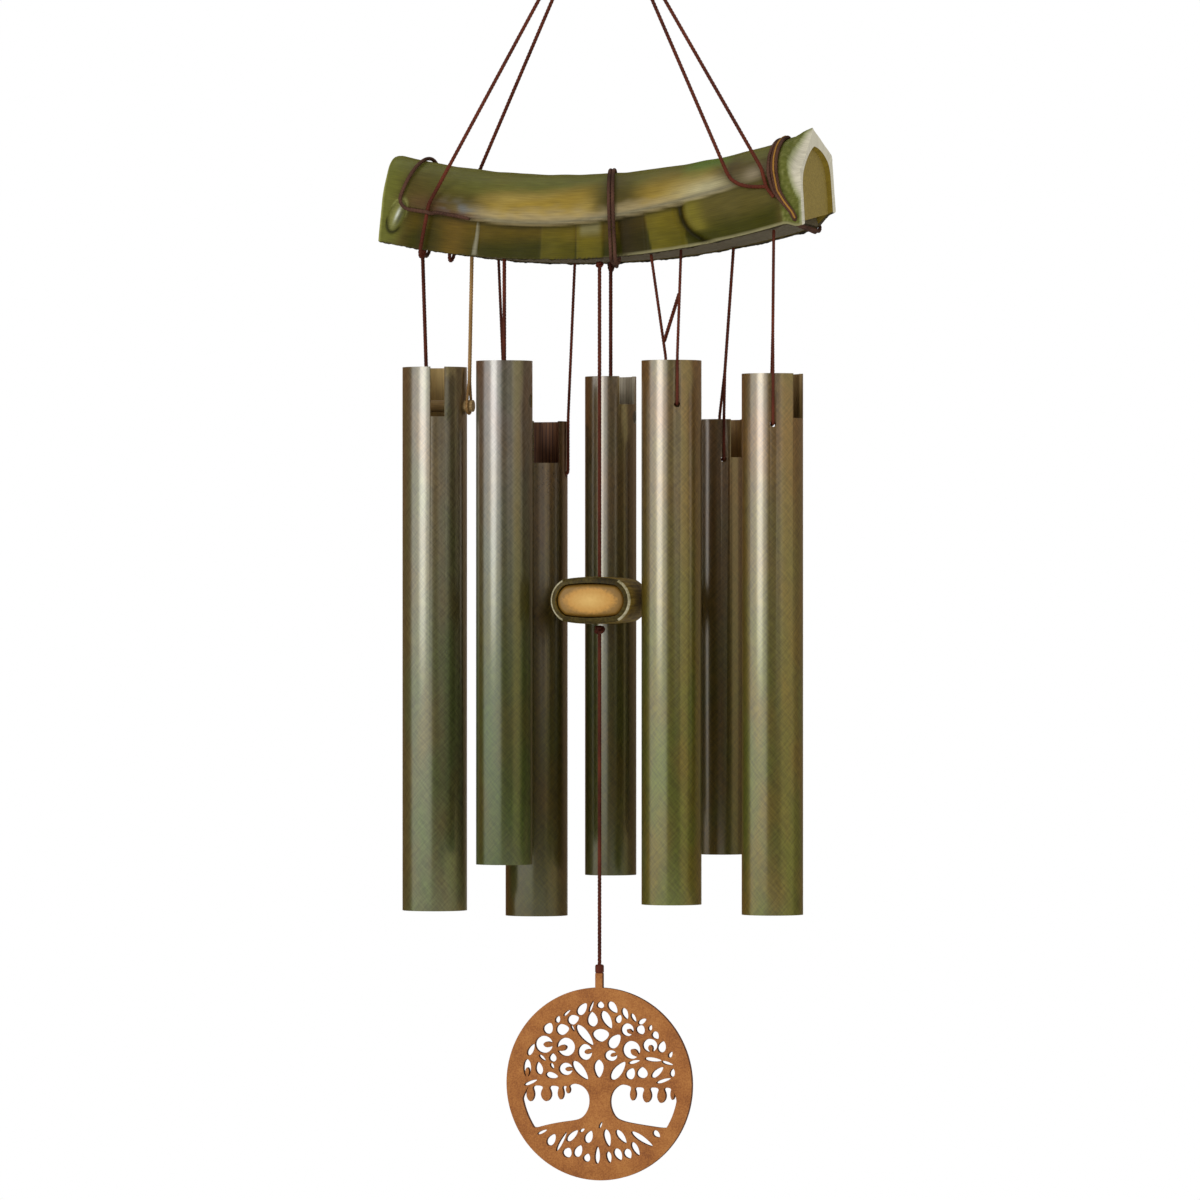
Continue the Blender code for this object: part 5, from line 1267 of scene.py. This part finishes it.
def trunk_window(side, rim, trunk, leaves, ground):
    """The large opening beside the trunk, under boughs with hanging leaves."""
    points = list(trunk)
    for x, half, drop in leaves:
        points += [(x - half * 0.35, -1.3), (x - half, -0.55 * drop), (x - half * 0.7, -0.85 * drop),
                   (x, -drop), (x + half * 0.8, -0.8 * drop), (x + half, -0.5 * drop),
                   (x + half * 0.35, -1.3)]
    first, last = math.asin(-7.4 / rim), math.asin(ground[0][1] / rim)
    for i in range(9):
        turn = first + (last - first) * i / 8
        points.append((rim * math.cos(turn), rim * math.sin(turn)))
    return softened([(side * x, z) for x, z in points + ground[1:]], 2)


tab_turn = math.asin(TAB_HALF / SAIL_RADIUS)
edge = [(side * TAB_HALF * 1000, (SAIL_RADIUS + TAB_HEIGHT) * 1000) for side in (1, -1)]
for i in range(181):
    turn = math.pi / 2 + tab_turn + (2 * math.pi - 2 * tab_turn) * i / 180
    edge.append((SAIL_RADIUS * 1000 * math.cos(turn), SAIL_RADIUS * 1000 * math.sin(turn)))
outlines = [edge, *(leaf_opening(*row) for row in CELLS), *(bud_opening(*row) for row in BUDS),
            trunk_window(-1, 40.4, LEFT_TRUNK, LEFT_LEAVES, LEFT_GROUND),
            trunk_window(1, 40.9, RIGHT_TRUNK, RIGHT_LEAVES, RIGHT_GROUND), softened(DIAMOND, 2)]
drawing = bpy.data.curves.new("sail_drawing", "CURVE")
drawing.dimensions = "2D"
drawing.fill_mode = "BOTH"
drawing.extrude = SAIL_THICKNESS / 2 - CUT_EDGE
drawing.bevel_depth = CUT_EDGE
drawing.bevel_resolution = 1
drawing.offset = -CUT_EDGE
for outline in outlines:
    spline = drawing.splines.new("POLY")
    spline.points.add(len(outline) - 1)
    spline.use_cyclic_u = True
    for slot_point, (x, z) in zip(spline.points, outline):
        slot_point.co = (x / 1000, z / 1000, 0, 1)
sail = bpy.data.objects.new("rusted_sail", drawing)
bpy.context.collection.objects.link(sail)
bpy.ops.object.select_all(action="DESELECT")
sail.select_set(True)
bpy.context.view_layer.objects.active = sail
bpy.ops.object.convert(target="MESH")
sail = bpy.context.object
sail.data.transform(Matrix.Translation(SAIL_CENTRE) @ Matrix.Rotation(math.radians(90), 4, "X"))
bpy.ops.object.mode_set(mode="EDIT")
bpy.ops.mesh.select_all(action="SELECT")
bpy.ops.mesh.remove_doubles(threshold=1e-6)
bpy.ops.mesh.normals_make_consistent(inside=False)
bpy.ops.object.mode_set(mode="OBJECT")
bpy.ops.object.shade_smooth_by_angle(angle=math.radians(30))
# Mild steel under a dry, even coat of rust: orange brown and matt, with grains of 0.6 mm, cloudy patches of
# 12 mm and darker cut edges
rust = mottled("even_rust", ("8A4E1E", "A8672C", "BC7C3C"), (1600.0, 4.0), (85.0, 3.0), (0.9, 1.3, 0.35),
               0.78)[0]
rust_edge = grained("rusted_cut_edge", ((0.3, "4A2410"), (0.7, "7A4520")), 1200.0, 0.85, relief=0.4)[0]
sail.data.materials.append(rust)
sail.data.materials.append(rust_edge)
for face in sail.data.polygons:
    face.material_index = 0 if abs(face.normal.y) > 0.9 else 1
belongs(sail, "sail_group", "rust_plate", "sail")
TAB_TOP = SAIL_CENTRE + Vector((0, 0, SAIL_RADIUS + TAB_HEIGHT))
bead = added("crimped_bead", bpy.ops.mesh.primitive_cylinder_add, vertices=32, radius=0.0022, depth=0.0044,
             location=TAB_TOP + Vector((0, 0, 0.0021)))
shaped(bead, "BEVEL", width=0.0009, segments=4)
bpy.ops.object.shade_smooth()
bead.data.materials.append(red_cord)
belongs(bead, "sail_group", "red_brown_cord", "sail_ferrule")
laid_cord("sail_hanging_cord", [LOWER_KNOT - Vector((0, 0, 0.0015)), TAB_TOP + Vector((0, 0, 0.0040))],
          "sail_cord_group", red_cord, stands_for=["sail_cord"])

# Stage: a round pale floor well below the sail, a white surround, a tall soft light at the front left and a
# weaker one at the right. Four glowing coloured cards round the object show in the polished tubes alone, as
# their darker bands.
bpy.ops.object.select_all(action="DESELECT")
bpy.ops.mesh.primitive_circle_add(vertices=96, radius=0.95, fill_type="NGON", location=(0, 0, -0.90))
floor = bpy.context.object
floor.name = "floor"
chalk = grained("chalk_white_floor", ((0.3, "E9E8E4"), (0.7, "F2F1EE")), 14.0, 0.9, detail=3.0)[0]
floor.data.materials.append(chalk)
CARD_AWAY, CARD_FOOT, CARD_TOP = 0.9, -1.2, 0.7
for name, first, last, tint in (("left_card", -178, -76, "6E4E32"), ("front_card", 0, 50, "5E5140"),
                                ("gold_card", 50, 100, "C2B283"), ("right_card", 100, 178, "7A6650")):
    corners = []
    for i in range(13):
        turn = math.radians(first + (last - first) * i / 12)
        for level in (CARD_FOOT, CARD_TOP):
            corners.append((CARD_AWAY * math.sin(turn), -CARD_AWAY * math.cos(turn), level))
    panel = bpy.data.meshes.new(name)
    panel.from_pydata(corners, [], [(2 * i, 2 * i + 2, 2 * i + 3, 2 * i + 1) for i in range(12)])
    card = bpy.data.objects.new(name, panel)
    bpy.context.collection.objects.link(card)
    card_look, shader = new_look(f"{name}_emitter")
    wire(card_look, shader, Base_Color=ink("000000"), Specular_IOR_Level=0.0, Emission_Color=ink(tint),
         Emission_Strength=1.0)
    panel.materials.append(card_look)
    card.visible_camera = False
    card.visible_diffuse = False
    card.visible_shadow = False
surround = bpy.data.worlds.new("white_surround")
bpy.context.scene.world = surround
surround.use_nodes = True
surround.node_tree.nodes.clear()
path = node(surround, "ShaderNodeLightPath")
seen = node(surround, "ShaderNodeMath", {"operation": "MAXIMUM"}, i0=path.outputs["Is Camera Ray"],
            i1=path.outputs["Is Glossy Ray"])
clear = node(surround, "ShaderNodeMath", {"operation": "MAXIMUM"}, i0=seen,
             i1=path.outputs["Is Transmission Ray"])
level = node(surround, "ShaderNodeMapRange", Value=clear, To_Min=0.70, To_Max=1.0)
glow = node(surround, "ShaderNodeBackground", Color=(1, 1, 1, 1), Strength=level)
node(surround, "ShaderNodeOutputWorld", Surface=glow)
for name, turn, away, wide, tall, watts in (("left_softbox", -30, 1.5, 0.62, 1.1, 4.8),
                                            ("right_softbox", 40, 1.7, 0.30, 1.1, 3.0)):
    lamp_data = bpy.data.lights.new(name, "AREA")
    lamp_data.shape = "RECTANGLE"
    lamp_data.size, lamp_data.size_y = wide, tall
    lamp_data.energy = watts
    lamp = bpy.data.objects.new(name, lamp_data)
    bpy.context.collection.objects.link(lamp)
    lamp.location = facing(turn) * away + Vector((0, 0, 0.05))
    lamp.rotation_euler = (Vector((0, 0, -0.40)) - lamp.location).to_track_quat("-Z", "Y").to_euler()
bpy.context.scene.view_settings.view_transform = "Standard"
# The camera stands 4 m away, level, 16 degrees to the right of the front
lens = bpy.data.cameras.new("camera")
lens.lens = 240.0
lens.sensor_width = 36.0
lens.shift_x = -1 / 1200
camera = bpy.data.objects.new("camera", lens)
bpy.context.collection.objects.link(camera)
camera.location = (1.1025, -3.845, -0.394)
camera.rotation_euler = (math.radians(90), 0, math.radians(16))
bpy.context.scene.camera = camera
